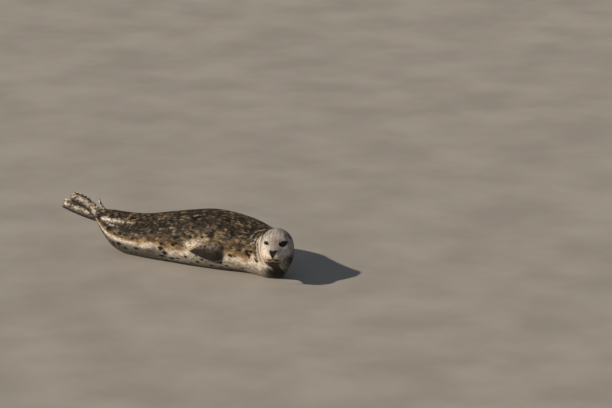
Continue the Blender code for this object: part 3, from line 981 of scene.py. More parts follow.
@dataclass
class Markings:
    """Where the coat is dark, tan or pale, before the fine spotting of the finish."""

    spine: Spine
    # place along the spine, and the angle at which the dark back gives way to the pale belly
    edge_right: tuple = (
        (0.0, 88.0), (8.0, 91.0), (8.5, 97.0), (9.6, 92.0), (10.6, 84.0),
        (11.6, 82.0), (12.6, 92.0), (13.6, 92.0), (16.2, 97.0), (17.9, 124.0), (29.0, 128.0),
    )
    edge_left: tuple = ((0.0, 118.0), (8.0, 128.0), (18.0, 132.0), (29.0, 128.0))
    # place, and degrees from the edge to full dark or full pale
    soft: tuple = (
        (0.0, 24.0), (7.5, 28.0), (9.5, 42.0), (11.5, 42.0), (13.0, 54.0), (17.0, 54.0), (18.0, 42.0),
    )
    marks: tuple = (
        *marks_of(
            Tint.PALE,
            (2.4, 57.0, 0.024, 0.010), (3.5, 48.0, 0.040, 0.011), (4.6, 43.0, 0.050, 0.011, 0.75),
            (5.5, 41.0, 0.040, 0.007, 0.55), (3.9, 60.0, 0.060, 0.006, 0.5),
            # cream line along the right hip's keel, 91 to 98 degrees: partly the edge of the pale
            # belly, partly a painted highlight of the lit edge where the flank turns under
            (2.4, 93.0, 0.044, 0.008), (3.7, 92.0, 0.050, 0.007), (4.9, 91.0, 0.050, 0.007),
            (6.0, 93.5, 0.050, 0.007), (7.0, 98.0, 0.046, 0.010, 0.9), (9.85, 85.0, 0.040, 0.020),
            (10.35, 80.0, 0.034, 0.016), (10.9, 73.0, 0.020, 0.010, 0.4),
            (13.6, 100.0, 0.050, 0.012, 0.8), (12.4, 100.0, 0.040, 0.010, 0.7),
            # painted highlights on the crests of the neck folds beside the face
            (15.9, 62.0, 0.007, 0.022, 0.6), (14.6, 38.0, 0.006, 0.022, 0.5),
        ),
        *marks_of(
            Tint.DARK,
            # (12.15, 92.0): painted shadow on the flank under the fore flipper's root
            (12.15, 92.0, 0.016, 0.034, 0.9), (8.0, 98.0, 0.019, 0.015),
            (8.25, 108.0, 0.017, 0.020), (8.0, 118.0, 0.018, 0.015), (8.6, 121.0, 0.022, 0.012),
            (9.5, 110.0, 0.013, 0.010), (10.6, 112.0, 0.011, 0.010),
            (12.4, 122.0, 0.014, 0.010, 0.8), (13.8, 126.0, 0.016, 0.010, 0.8),
            (19.45, 57.0, 0.009, 0.008), (19.35, -50.0, 0.010, 0.022, 0.58),
            (9.0, 118.0, 0.016, 0.010), (10.2, 122.0, 0.013, 0.012), (11.2, 128.0, 0.015, 0.010),
            (14.9, 88.0, 0.016, 0.014), (15.3, 95.0, 0.010, 0.009),
            (13.2, 96.0, 0.013, 0.007, 0.8), (16.1, 72.0, 0.012, 0.012, 0.8),
            (5.0, 104.0, 0.020, 0.012), (5.6, 112.0, 0.016, 0.010), (6.4, 106.0, 0.018, 0.009),
            (4.4, 112.0, 0.014, 0.012),
        ),
    )

    def ruff(self, run: Array, turn: Array) -> Array:
        """Cream ruff behind the right cheek, parted by a dark crease: partly its own colour, partly a
        painted highlight, as the cream lies only on the lit right side.

        Args:
            run: stations behind or ahead of the ruff's own line.
            turn: angle in degrees.

        Returns:
            Strength of the cream, from 0 to 1.
        """
        band = rise(run, -0.20, -0.04) * fall(run, 0.60, 0.80)
        band = band * rise(turn, 48.0, 66.0) * fall(turn, 158.0, 171.0)
        return band * (1.0 - hump(run, 0.24, 0.14))

    def painted_underside_shade(self, place: Array, angle: Array) -> Array:
        """Painted shade: how far the coat is darkened where shade falls under the throat, on its left
        and under the hips.
        """
        turn = np.degrees(angle)
        right = rise(turn, 128.0, 158.0) * rise(place, 16.7, 18.0)
        left = rise(-turn, 84.0, 122.0) * rise(place, 16.2, 18.0)
        # painted shade on the belly below the lit keel of the right hip
        hind = 0.66 * rise(turn, 92.0, 101.0) * fall(place, 7.0, 9.4)
        return np.maximum(np.maximum(right, left) * fall(place, 24.0, 25.5), hind)

    def ventral(self, place: Array, angle: Array) -> Array:
        """0 on the dark back, 0.5 at the edge of the belly, 1 well under it."""
        turn = np.degrees(angle)
        right = np.interp(place, *zip(*self.edge_right))
        left = np.interp(place, *zip(*self.edge_left))
        over = np.where(turn >= 0.0, turn - right, -turn - left) / np.interp(place, *zip(*self.soft))
        return np.clip(0.5 + 0.5 * over, 0.0, 1.0)

    def patches(self, place: Array, angle: Array) -> dict:
        """Strength of the listed marks of each tint."""
        turn = np.degrees(angle)
        along = self.spine.lengths(place)
        half = self.spine.values(place)[..., 3]
        found = {tint: np.zeros_like(place) for tint in Tint}
        for mark in self.marks:
            ahead = along - self.spine.lengths(np.array([mark.place]))[0]
            beside = np.radians((turn - mark.turn + 180.0) % 360.0 - 180.0) * half
            ragged = 1.0 + 0.35 * np.sin(ahead * 310.0 + beside * 190.0) * np.sin(beside * 430.0 + 1.0)
            reach = np.sqrt((ahead / mark.along) ** 2 + (beside / mark.round) ** 2) * ragged
            value = mark.strength * fall(reach, 0.55, 1.25)
            found[mark.tint] = np.maximum(found[mark.tint], value)
        return found


# ---------- skin
@dataclass
class Skin:
    """One closed skin over body, head, limbs and tail, inside the coat."""

    spine: Spine
    face: Face
    markings: Markings
    limbs: tuple
    body_columns: int = 128
    body_step: float = 0.0070
    head_step: float = 0.0016
    head_start: float = 16.5
    # depth of the coat at places along the spine
    coat_places: tuple = (0.0, 15.0, 18.5, 23.0, 29.0)
    coat_depths: tuple = (0.0019, 0.0019, 0.0012, 0.0008, 0.0006)
    cap_length: float = 0.018  # of the dome behind the ankles
    nose_cap: float = 0.0012
    unevenness: float = 0.0012
    keel: float = 0.0022
    hip_crease: float = 0.0026
    rump_fold: float = 0.0012
    rump_folds: tuple = (1.6, 2.5, 3.3)
    seam_rings: int = 5  # rings of points softened on each side of a seam
    seam_fade: float = 0.82
    seam_pull: float = 0.55
    seam_rounds: int = 14
    droop: float = 0.18  # how far the coat of the flanks lies downwards
    replaced: tuple = (
        "rump", "belly", "chest", "neck", "head", "muzzle", "lower_jaw", "tail",
        "fore_flipper_right", "fore_flipper_left", "hind_flipper_right", "hind_flipper_left",
    )

    def depth(self, place: Array) -> Array:
        """Depth of the coat at places along the spine."""
        return np.interp(place, self.coat_places, self.coat_depths)

    def flesh(self, place: Array, angle: Array) -> Array:
        """Soft unevenness of the blubber, its creases, and the keel along the right hip."""
        turn = np.degrees(angle)
        out = self.unevenness * ripple(self.spine.surface(place, angle, 0.0), 0.23)
        out += self.keel * hump(turn, 88.0, 7.0) * rise(place, 1.0, 2.5) * fall(place, 6.8, 8.4)
        wavy = place + 0.10 * np.sin(angle * 5.0)
        out -= self.hip_crease * hump(wavy, 8.2, 0.10) * hump(turn, 112.0, 17.0)
        for centre in self.rump_folds:
            out -= self.rump_fold * hump(place + 0.12 * np.sin(angle * 3.0), centre, 0.16)
        return out * fall(place, 17.5, 18.5)

    def trunk(self) -> tuple:
        """Closed loft from behind the ankles to the nose, finer on the head.

        Returns:
            Points and faces.
        """
        body = self.spine.spread(0.0, self.head_start, self.body_step)
        head = self.spine.spread(self.head_start, self.spine.nose, self.head_step)[1:]
        parts = ((body, self.body_columns), (head, 2 * self.body_columns))
        points, faces, count = [], [], 0
        for places, columns in parts:
            angles = 2.0 * math.pi * np.arange(columns) / columns
            grid_place = np.repeat(places, columns)
            grid_angle = np.tile(angles, len(places))
            swell = self.flesh(grid_place, (grid_angle + math.pi) % (2.0 * math.pi) - math.pi)
            rings = self.spine.surface(grid_place, grid_angle, swell - self.depth(grid_place))
            start = count
            quads = grid_faces(len(places), columns)
            faces += [tuple(start + corner for corner in quad) for quad in quads]
            if points:
                faces += self.stitch(start - self.body_columns, start)
            points.append(rings)
            count += len(rings)
        tail_end = (0, self.body_columns, -self.cap_length)
        nose_end = (count - 2 * self.body_columns, 2 * self.body_columns, self.nose_cap)
        for first, columns, push in (tail_end, nose_end):
            cap, strips = self.cap(np.concatenate(points), first, columns, push)
            faces += strips
            points.append(cap)
        return np.concatenate(points), faces

    def stitch(self, low: int, high: int) -> list:
        """Triangles that join a ring to one with twice its points."""
        count = self.body_columns
        strips = []
        for step in range(count):
            after = (step + 1) % count
            middle = high + 2 * step + 1
            end = high + (2 * step + 2) % (2 * count)
            strips.append((low + step, middle, high + 2 * step))
            strips.append((low + step, low + after, middle))
            strips.append((low + after, end, middle))
        return strips

    def cap(self, points: Array, first: int, columns: int, push: float) -> tuple:
        """Domed end on a ring of the loft.

        Args:
            points: points of the loft so far.
            first: first point of the ring.
            columns: points in the ring.
            push: height of the dome along the spine, below 0 for the tail end.

        Returns:
            The dome's points and its faces.
        """
        ring = points[first : first + columns]
        centre = ring.mean(axis=0)
        place = 0.0 if push < 0.0 else self.spine.nose
        way = self.spine.axes(np.array([place]))[1][0]
        steps = 6
        rows = []
        for step in range(1, steps):
            turn = 0.5 * math.pi * step / steps
            rows.append(centre + (ring - centre) * math.cos(turn) + way * push * math.sin(turn))
        cap = np.concatenate(rows + [(centre + way * push)[None]])
        firsts = [first] + [len(points) + row * columns for row in range(steps - 1)]
        pairs = zip(firsts, firsts[1:])
        strips = [quad for low, high in pairs for quad in band_faces(low, high, columns)]
        top = len(points) + (steps - 1) * columns
        return cap, strips + [(*quad[:2], top) for quad in band_faces(firsts[-1], top, columns)]

    def fuse(self) -> Piece:
        """The trunk and the limbs as one closed mesh, with the sources of its points kept."""
        points, faces = self.trunk()
        whole = make_mesh("skin", points, faces)
        self.sources = [points]
        self.labels = [np.zeros(len(points), int)]
        self.ways = [np.zeros((len(points), 2))]
        extra = []
        for number, limb in enumerate(self.limbs, 1):
            points, faces, along, across = limb.mesh()
            tool = make_mesh("limb_tool", points, faces)
            extra.append(tool)
            for piece in (whole, tool):
                face_out(piece)
            step = whole.modifiers.new(limb.name, "BOOLEAN")
            step.operation, step.solver, step.object = "UNION", "EXACT", tool
            self.sources.append(points)
            self.labels.append(np.full(len(points), number))
            self.ways.append(np.stack((along, across), -1))
        settled = whole.evaluated_get(bpy.context.evaluated_depsgraph_get())
        mesh = bpy.data.meshes.new_from_object(settled)
        whole.modifiers.clear()
        whole.data = mesh
        for tool in extra:
            bpy.data.objects.remove(tool)
        return whole

    def build(self) -> Piece:
        """Fuses, smooths, refines and shapes the skin, and stores what the finishes read."""
        skin = self.fuse()
        LOG.info("skin fused: %d points", len(skin.data.vertices))
        self.smooth_seams(skin.data)
        self.refine(skin.data)
        points = mesh_points(skin.data)
        place, angle = self.spine.locate(points)
        label, _ = self.origin(points)
        on_trunk = label == 0
        height = np.where(on_trunk, self.face.heights(points, place, angle), 0.0)
        points = points + mesh_normals(skin.data) * height[:, None]
        head = on_trunk & (place > self.spine.nape)
        points[head] = self.face.press_nostrils(points[head])
        points[head] = self.face.fit_lids(points[head])
        points[:, 2] = np.maximum(points[:, 2], self.spine.floor)
        set_points(skin.data, points)
        skin.data.shade_smooth()
        self.store(skin.data)
        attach(skin, BODY)
        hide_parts(*self.replaced)
        return skin

    def origin(self, points: Array) -> tuple:
        """Which part each point came from, 0 for the trunk, and its ways along and across a limb."""
        sources = np.concatenate(self.sources)
        tree = KDTree(len(sources))
        for number, point in enumerate(sources):
            tree.insert(point, number)
        tree.balance()
        nearest = np.array([tree.find(point)[1] for point in points])
        return np.concatenate(self.labels)[nearest], np.concatenate(self.ways)[nearest]

    def smooth_seams(self, mesh: Mesh) -> None:
        """Turns the sharp line where a limb meets the trunk into a soft fillet."""
        points = mesh_points(mesh)
        label, _ = self.origin(points)
        ends = mesh_edges(mesh)
        weight = np.zeros(len(points))
        weight[np.unique(ends[label[ends[:, 0]] != label[ends[:, 1]]])] = 1.0
        for _ in range(self.seam_rings):
            reach = weight.copy()
            np.maximum.at(reach, ends[:, 0], self.seam_fade * weight[ends[:, 1]])
            np.maximum.at(reach, ends[:, 1], self.seam_fade * weight[ends[:, 0]])
            weight = reach
        for _ in range(self.seam_rounds):
            pull = self.seam_pull * weight[:, None]
            points += pull * (neighbour_mean(points, ends) - points)
        set_points(mesh, points)

    def refine(self, mesh: Mesh) -> None:
        """Splits the mesh finer round the eyes, the nostrils and the lips."""
        points = mesh_points(mesh)
        forward, sideways, up = self.spine.head_frame(points)
        fine = np.zeros(len(points), bool)
        for eye in self.face.eyes:
            ring, distance, _, _ = eye.openness(self.spine, points)
            fine |= (ring < 2.1) & (ring > 0.6) & (distance < 0.030)
        gap = self.face.nostril_distance(sideways, up)
        fine |= (gap < 0.0065) & (forward > 0.114)
        lips = self.face.mouth_height(forward, sideways, up)
        fine |= (np.abs(lips) < 0.0048) & (forward > 0.090) & (np.abs(sideways) < 0.060)
        work = bmesh.new()
        work.from_mesh(mesh)
        edges = [edge for edge in work.edges if fine[edge.verts[0].index] and fine[edge.verts[1].index]]
        bmesh.ops.subdivide_edges(work, edges=edges, cuts=1, use_grid_fill=True)
        bmesh.ops.triangulate(work, faces=[one for one in work.faces if len(one.verts) > 4])
        work.to_mesh(mesh)
        work.free()

    def store_limb(self, number: int, lie: Array, grain: Array, pale: Array, share: Array) -> None:
        """Lays the coat of one limb towards its tips and pales it, in the skin's own fields.

        Args:
            number: the limb's place among the limbs, from 1.
            lie: the way the coat lies.
            grain: lengths beside and along the coat.
            pale: how pale the coat of a limb is.
            share: 1 on a limb and 0 on the trunk.
        """
        limb = self.limbs[number - 1]
        mine = self.label == number
        along, across = self.ways_on[mine].T
        step = 0.02
        lie[mine] = limb.points(along + step, across, 0.0) - limb.points(along - step, across, 0.0)
        grain[mine] = np.stack((across * 0.04, along * limb.reach(across)), -1)
        digit = digit_swell(across)
        if isinstance(limb, HindFlipper):
            tips = rise(along, 0.91, 0.97) * rise(across, -0.5, -0.2)
            rim = np.maximum(rise(across, 0.80, 0.93), tips)
            middle = hump(across, 0.02, 0.42) * (0.72 + 0.28 * digit)
            ankle = 0.55 * fall(along, 0.12, 0.34) * rise(across, -0.9, -0.3)
            pale[mine] = np.maximum(np.maximum(0.80 * middle, ankle), rim)
        elif isinstance(limb, Tail):
            pale[mine] = 0.45 + 0.4 * rise(np.abs(across), 0.5, 1.0)
        else:
            # painted light and shade: the fore flipper pales towards its upper half and stays near
            # black below, where shade falls
            upper = rise(across, -0.15, 0.75) * rise(along, 0.0, 0.35)
            pale[mine] = 0.02 + (0.15 + 0.08 * digit) * upper
            share[mine] *= rise(along, -0.05, 0.03)
        LOG.info("skin of %s %s: %d points", limb.name, limb.side.value, mine.sum())

    def head_share(self) -> Array:
        """0 on the body's coat and 1 on the face's, sharp at the ruff and soft on the far side."""
        turn = np.degrees(self.angle)
        far = rise(-turn, -35.0, 30.0)
        start = 17.75 + 0.35 * (1.0 - hump(turn, 80.0, 60.0))
        middle = self.spine.lengths(np.array([18.3]))[0]
        soft = rise(self.spine.lengths(self.place) - middle, -0.070, 0.030)
        return (1.0 - far) * rise(self.place - start, 0.0, 0.55) + far * soft

    def trunk_marks(self) -> tuple:
        """Strength of the pale marks, of the dark marks and of the painted shade under chin and throat.
        """
        turn = np.degrees(self.angle)
        found = self.markings.patches(self.place, self.angle)
        run = self.place - np.interp(np.abs(turn), *zip(*self.face.ruff_line))
        # the cream ruff is partly a painted highlight on the lit right side
        pale = np.maximum(found[Tint.PALE], self.markings.ruff(run, turn))
        # painted shade: dark lines in the creases of the ruff and in the fold behind each whisker pad
        crease = np.maximum(hump(run, 0.24, 0.10), hump(run, 0.88, 0.10)) * hump(turn, 108.0, 34.0)
        forward, sideways, up = self.spine.head_frame(self.points)
        crease = np.maximum(crease, 0.88 * self.face.pad_edge(forward, np.abs(turn)))
        dark = np.maximum(found[Tint.DARK], 0.52 * crease)
        # painted shade under the chin, below the lower lip
        chin = rise(-self.face.mouth_height(forward, sideways, up), 0.008, 0.014)
        chin = 0.92 * chin * rise(forward, 0.070, 0.085)
        return pale, dark, np.maximum(self.markings.painted_underside_shade(self.place, self.angle), chin)

    def store(self, mesh: Mesh) -> None:
        """Works out the fields that colour the coat and lay it, and stores them on the mesh."""
        self.points, self.normals = mesh_points(mesh), mesh_normals(mesh)
        self.place, self.angle = self.spine.locate(self.points)
        self.label, self.ways_on = self.origin(self.points)
        ends = mesh_edges(mesh)
        lie = -self.spine.axes(self.place)[1]
        lie[:, 2] -= self.droop * np.abs(np.sin(self.angle)) * (self.place < 17.0)
        share = (self.label > 0).astype(float)
        pale = np.zeros(len(share))
        grain = np.stack((self.angle * 0.15, self.spine.lengths(self.place)), -1)
        for number in range(1, len(self.limbs) + 1):
            self.store_limb(number, lie, grain, pale, share)
        share, pale = evened(share, ends, 10), evened(pale, ends, 2)
        on_trunk = 1.0 - share
        pale_marks, dark_marks, shade = self.trunk_marks()
        # on the trunk this field carries the painted shade under chin, throat and hips; on the limbs,
        # their paleness
        pale = np.where(self.label == 0, shade, pale)
        black, bare = self.face.masks(self.points, self.place)
        ventral = self.markings.ventral(self.place, self.angle)
        self.lie = unit(lie - self.normals * (lie * self.normals).sum(1, keepdims=True))
        self.fields = {
            "root": self.points,
            "tone": np.stack((ventral, self.head_share() * on_trunk, share), -1),
            "mark": np.stack((pale_marks * on_trunk, dark_marks * on_trunk, black), -1),
            "grain": np.stack((grain[:, 0], grain[:, 1], bare), -1),
            "extra": np.stack((pale, np.full(len(share), 0.5), self.angle), -1),
        }
        for name, values in self.fields.items():
            add_vectors(mesh, name, values)


# ---------- coat
@dataclass
class Coat:
    """Short tufts that lie back over the skin, in pieces by region."""

    skin: Skin
    seed: int = 11
    body_density: float = 175000.0  # tufts for each square metre
    face_density: float = 420000.0
    limb_density: float = 210000.0
    body_length: float = 0.0088
    face_length: float = 0.0048
    muzzle_length: float = 0.0034
    limb_length: float = 0.0055
    slimness: float = 0.070  # half width of a tuft, in parts of its length
    flatness: float = 0.028  # its thickness
    widest: float = 0.42  # where it is widest
    root_depth: float = 0.0006
    sway: float = 0.12
    most: int = 33000  # tufts in one piece
    borders: tuple = (5.2, 7.6, 9.4, 11.0, 12.6, 15.2, 18.4, 20.6)
    names: tuple = (
        "coat_rump", "coat_hips", "coat_loins", "coat_belly", "coat_back",
        "coat_chest", "coat_neck", "coat_crown", "coat_face", "coat_limbs",
    )

    def sizes(self, place: Array, limb: Array) -> tuple:
        """Length and lift of the tufts at places on the skin."""
        spots = (0.0, 15.0, 17.5, 19.0, 23.0, 26.0, 29.0)
        body, face, muzzle = self.body_length, self.face_length, self.muzzle_length
        length = np.interp(place, spots, (0.0080, body, 0.0076, 0.0062, face, muzzle, muzzle))
        length = length * (1.0 - limb) + self.limb_length * limb
        lift = np.interp(place, spots, (0.0011, 0.0011, 0.0010, 0.0008, 0.0005, 0.0003, 0.0003))
        return length, lift * (1.0 - limb) + 0.0003 * limb

    def roots(self) -> dict:
        """Random places on the skin, and the skin's fields there."""
        skin = self.skin
        mesh = bpy.data.objects["skin"].data
        mesh.calc_loop_triangles()
        corners = read_rows(mesh.loop_triangles, "vertices", 3, np.int32)
        a, b, c = (skin.points[corners[:, corner]] for corner in range(3))
        area = 0.5 * np.linalg.norm(np.cross(b - a, c - a), axis=1)
        tone, bare = skin.fields["tone"], skin.fields["grain"][:, 2]
        head = rise(skin.place, 16.4, 19.0)
        density = self.body_density * (1.0 - head) + self.face_density * head
        density = density * (1.0 - tone[:, 2]) + self.limb_density * tone[:, 2]
        grounded = (skin.points[:, 2] < 0.006) & (skin.normals[:, 2] < -0.5)
        density = np.where(grounded | (bare > 0.35), 0.0, density)
        wanted = area * density[corners].min(axis=1)
        random = np.random.default_rng(self.seed)
        count = int(wanted.sum())
        ladder = np.cumsum(wanted) / wanted.sum()
        chosen = np.searchsorted(ladder, (np.arange(count) + random.random(count)) / count)
        chosen = np.minimum(chosen, len(ladder) - 1)
        first, second = random.random(count), random.random(count)
        over = first + second > 1.0
        first, second = np.where(over, 1.0 - first, first), np.where(over, 1.0 - second, second)
        weights = np.stack((1.0 - first - second, first, second), -1)[..., None]
        own = corners[chosen]

        def across(values: Array) -> Array:
            """Values of the corners, mixed at each root."""
            return (values[own] * weights).sum(axis=1)

        found = {name: across(values) for name, values in skin.fields.items()}
        found["normal"] = unit(across(skin.normals))
        found["lie"] = unit(across(skin.lie))
        found["place"] = across(skin.place[:, None])[:, 0]
        found["label"] = skin.label[own[:, 0]]
        found["ways"] = across(skin.ways_on)
        found["angle"] = skin.angle[own[:, 0]]
        self.random = random
        return found

    def build(self) -> list:
        """All the pieces of the coat."""
        found = self.roots()
        total = len(found["place"])
        LOG.info("coat: %d tufts", total)
        limbs = len(self.names) - 1
        regions = np.digitize(found["place"], self.borders)
        regions = np.where(found["label"] > 0, limbs, regions)
        made = []
        for region, name in enumerate(self.names):
            chosen = np.flatnonzero(regions == region)
            if len(chosen) > self.most:
                LOG.warning("%s holds %d tufts", name, len(chosen))
            piece = self.piece(name, {key: values[chosen] for key, values in found.items()})
            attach(piece, BODY)
            LOG.info("%s: %d tufts", name, len(chosen))
            made.append(piece)
        return made

    def piece(self, name: str, found: dict) -> Piece:
        """One mesh of closed tufts, each a thin five-cornered dart.

        Args:
            name: name of the piece.
            found: places and fields of its roots.

        Returns:
            The piece, with its fields and its OFBake map.
        """
        count = len(found["place"])
        random = self.random
        limb = found["tone"][:, 2]
        length, lift = self.sizes(found["place"], limb)
        length = length * random.uniform(0.72, 1.25, count)
        lift = lift * random.uniform(0.45, 1.15, count)
        normal = found["normal"]
        lie = unit(found["lie"] - normal * (found["lie"] * normal).sum(1, keepdims=True))
        beside = np.cross(normal, lie)
        sway = random.normal(0.0, self.sway, count)[:, None]
        swayed = lie * np.cos(sway) + beside * np.sin(sway)
        lie, beside = swayed, beside * np.cos(sway) - lie * np.sin(sway)
        width = (self.slimness * length * random.uniform(0.8, 1.25, count))[:, None]
        length, lift = length[:, None], lift[:, None]
        thick = self.flatness * length
        root = found["root"] - normal * self.root_depth
        middle = found["root"] + lie * length * self.widest + normal * (lift * 0.72)
        corners = np.stack(
            (
                root,
                middle - beside * width - normal * thick * 0.5,
                middle + beside * width - normal * thick * 0.5,
                middle + normal * thick,
                found["root"] + lie * length + normal * lift,
            ),
            axis=1,
        )
        corners[..., 2] = np.maximum(corners[..., 2], 0.0)
        shape = np.array(((0, 1, 3), (0, 3, 2), (4, 3, 1), (4, 2, 3), (0, 2, 1), (4, 1, 2)))
        faces = (shape[None] + 5 * np.arange(count)[:, None, None]).reshape(-1, 3)
        mesh = bpy.data.meshes.new(name)
        mesh.vertices.add(count * 5)
        mesh.vertices.foreach_set("co", corners.astype(np.float32).ravel())
        mesh.loops.add(faces.size)
        mesh.loops.foreach_set("vertex_index", faces.astype(np.int32).ravel())
        mesh.polygons.add(len(faces))
        mesh.polygons.foreach_set("loop_start", np.arange(0, faces.size, 3, dtype=np.int32))
        mesh.update(calc_edges=True)
        mesh.shade_smooth()
        extra = found["extra"].copy()
        extra[:, 1] = random.random(count)
        for key in ("root", "tone", "mark", "grain"):
            add_vectors(mesh, key, np.repeat(found[key], 5, axis=0))
        add_vectors(mesh, "extra", np.repeat(extra, 5, axis=0))
        self.unwrap(mesh, found, faces)
        return add_object(name, mesh)

    @staticmethod
    def unwrap(mesh: Mesh, found: dict, faces: Array) -> None:
        """Lays each tuft as a small patch at its root's place on the unrolled skin.

        Args:
            mesh: the tufts.
            found: places and fields of their roots.
            faces: corner numbers of the faces.
        """
        patch = 0.0015
        corners = np.array(((0.0, -1.0), (-1.0, 0.0), (1.0, 0.0), (0.0, 0.0), (0.0, 1.0))) * patch
        place = found["place"]
        low, high = place.min(), place.max()
        turn = found["angle"] / (2.0 * math.pi) + 0.5
        spot = np.stack((turn, (place - low) / max(high - low, 1e-6)), -1)
        label = found["label"]
        if (label > 0).any():
            along, across = found["ways"].T
            strip = (label - 1 + 0.5 + 0.44 * across) / 5.0
            spot = np.stack((strip, np.clip(along, -0.1, 1.0) * 0.85 + 0.1), -1)
        spot = 0.01 + 0.98 * np.clip(spot, 0.0, 1.0)
        points = (spot[:, None] + corners[None]).reshape(-1, 2)
        layer = mesh.uv_layers.new(name="OFBake")
        layer.data.foreach_set("uv", points[faces.ravel()].astype(np.float32).ravel())


# ---------- finishes
class Recipe:
    """Builds the nodes of one finish."""

    def __init__(self, name: str) -> None:
        """Starts a finish with an empty principled shader."""
        self.material = bpy.data.materials.new(name)
        self.material.use_nodes = True
        self.tree = self.material.node_tree
        self.shader = self.tree.nodes["Principled BSDF"]

    def node(
        self, kind: str, inputs: dict | None = None, **settings: object
    ) -> bpy.types.Node:
        """Adds a node, sets its properties, and feeds its inputs by number or name."""
        made = self.tree.nodes.new(kind)
        for key, value in settings.items():
            setattr(made, key, value)
        for key, value in (inputs or {}).items():
            self.feed(made.inputs[key], value)
        return made

    def feed(self, socket: Socket, value: object) -> None:
        """Links a socket, or sets its value."""
        if isinstance(value, Socket):
            self.tree.links.new(value, socket)
        elif isinstance(value, tuple) and len(value) == 3 and socket.type == "RGBA":
            socket.default_value = (*value, 1.0)
        else:
            socket.default_value = value

    def surface(self, values: dict) -> None:
        """Links or sets sockets of the shader by their names."""
        for name, value in values.items():
            self.feed(self.shader.inputs[name], value)

    def vector(self, name: str) -> Socket:
        """A stored field as a vector."""
        return self.node("ShaderNodeAttribute", attribute_name=name).outputs["Vector"]

    def parts(self, name: str) -> list:
        """The three numbers of a stored field."""
        return list(self.node("ShaderNodeSeparateXYZ", {0: self.vector(name)}).outputs)

    def math(self, operation: str, first: object, second: object = 0.0, clamp: bool = False) -> Socket:
        """One sum, product or other step on numbers."""
        values = {0: first, 1: second}
        made = self.node("ShaderNodeMath", values, operation=operation, use_clamp=clamp)
        return made.outputs[0]

    def plus(self, first: object, second: object, clamp: bool = False) -> Socket:
        """Sum of two numbers."""
        return self.math("ADD", first, second, clamp)

    def minus(self, first: object, second: object) -> Socket:
        """Difference of two numbers."""
        return self.math("SUBTRACT", first, second)

    def times(self, first: object, second: object, clamp: bool = False) -> Socket:
        """Product of two numbers."""
        return self.math("MULTIPLY", first, second, clamp)

    def larger(self, first: object, second: object) -> Socket:
        """The larger of two numbers."""
        return self.math("MAXIMUM", first, second)

    def move(self, operation: str, first: object, second: object) -> Socket:
        """One step on vectors."""
        values = {0: first, 1: second}
        return self.node("ShaderNodeVectorMath", values, operation=operation).outputs[0]

    def noise(
        self, where: object, scale: float, detail: float = 3.0, rough: float = 0.5
    ) -> bpy.types.Node:
        """Cloudy field with a number of waves for each metre."""
        values = {"Vector": where, "Scale": scale, "Detail": detail, "Roughness": rough}
        return self.node("ShaderNodeTexNoise", values)

    def cloud(self, where: object, scale: float, detail: float = 3.0, rough: float = 0.5) -> Socket:
        """The grey value of a cloudy field."""
        return self.noise(where, scale, detail, rough).outputs["Fac"]

    def streaks(self, beside: object, fine: float, along: object, coarse: float) -> Socket:
        """Cloud drawn out into streaks, with its waves for each metre beside and along them."""
        values = {0: self.times(beside, fine), 1: self.times(along, coarse)}
        return self.cloud(self.node("ShaderNodeCombineXYZ", values).outputs[0], 1.0, 2.0)

    def cells(self, where: object, scale: float) -> tuple:
        """Distance from the nearest of scattered points, and three random numbers of it."""
        made = self.node("ShaderNodeTexVoronoi", {"Vector": where, "Scale": scale})
        split = self.node("ShaderNodeSeparateColor", {0: made.outputs["Color"]})
        return made.outputs["Distance"], list(split.outputs)

    def step(
        self, value: object, low: float, high: float, first: float = 0.0, last: float = 1.0
    ) -> Socket:
        """Smooth step between two values."""
        values = dict(enumerate((value, low, high, first, last)))
        made = self.node("ShaderNodeMapRange", values, interpolation_type="SMOOTHSTEP")
        return made.outputs[0]

    def ramp(self, value: object, stops: tuple) -> Socket:
        """Colour along a row of stops, each a position and a colour."""
        made = self.node("ShaderNodeValToRGB", {0: value})
        band = made.color_ramp
        while len(band.elements) < len(stops):
            band.elements.new(1.0)
        for element, (position, colour) in zip(band.elements, stops):
            element.position = position
            element.color = (*colour, 1.0)
        return made.outputs[0]

    def blend(self, share: object, first: object, second: object, way: str = "MIX") -> Socket:
        """Mixes two colours."""
        values = {0: share, 6: first, 7: second}
        return self.node("ShaderNodeMix", values, data_type="RGBA", blend_type=way).outputs[2]

    def bump(self, height: object, strength: float, distance: float) -> None:
        """Raises the surface by a height field."""
        values = {"Strength": strength, "Distance": distance, "Height": height}
        self.surface({"Normal": self.node("ShaderNodeBump", values).outputs["Normal"]})


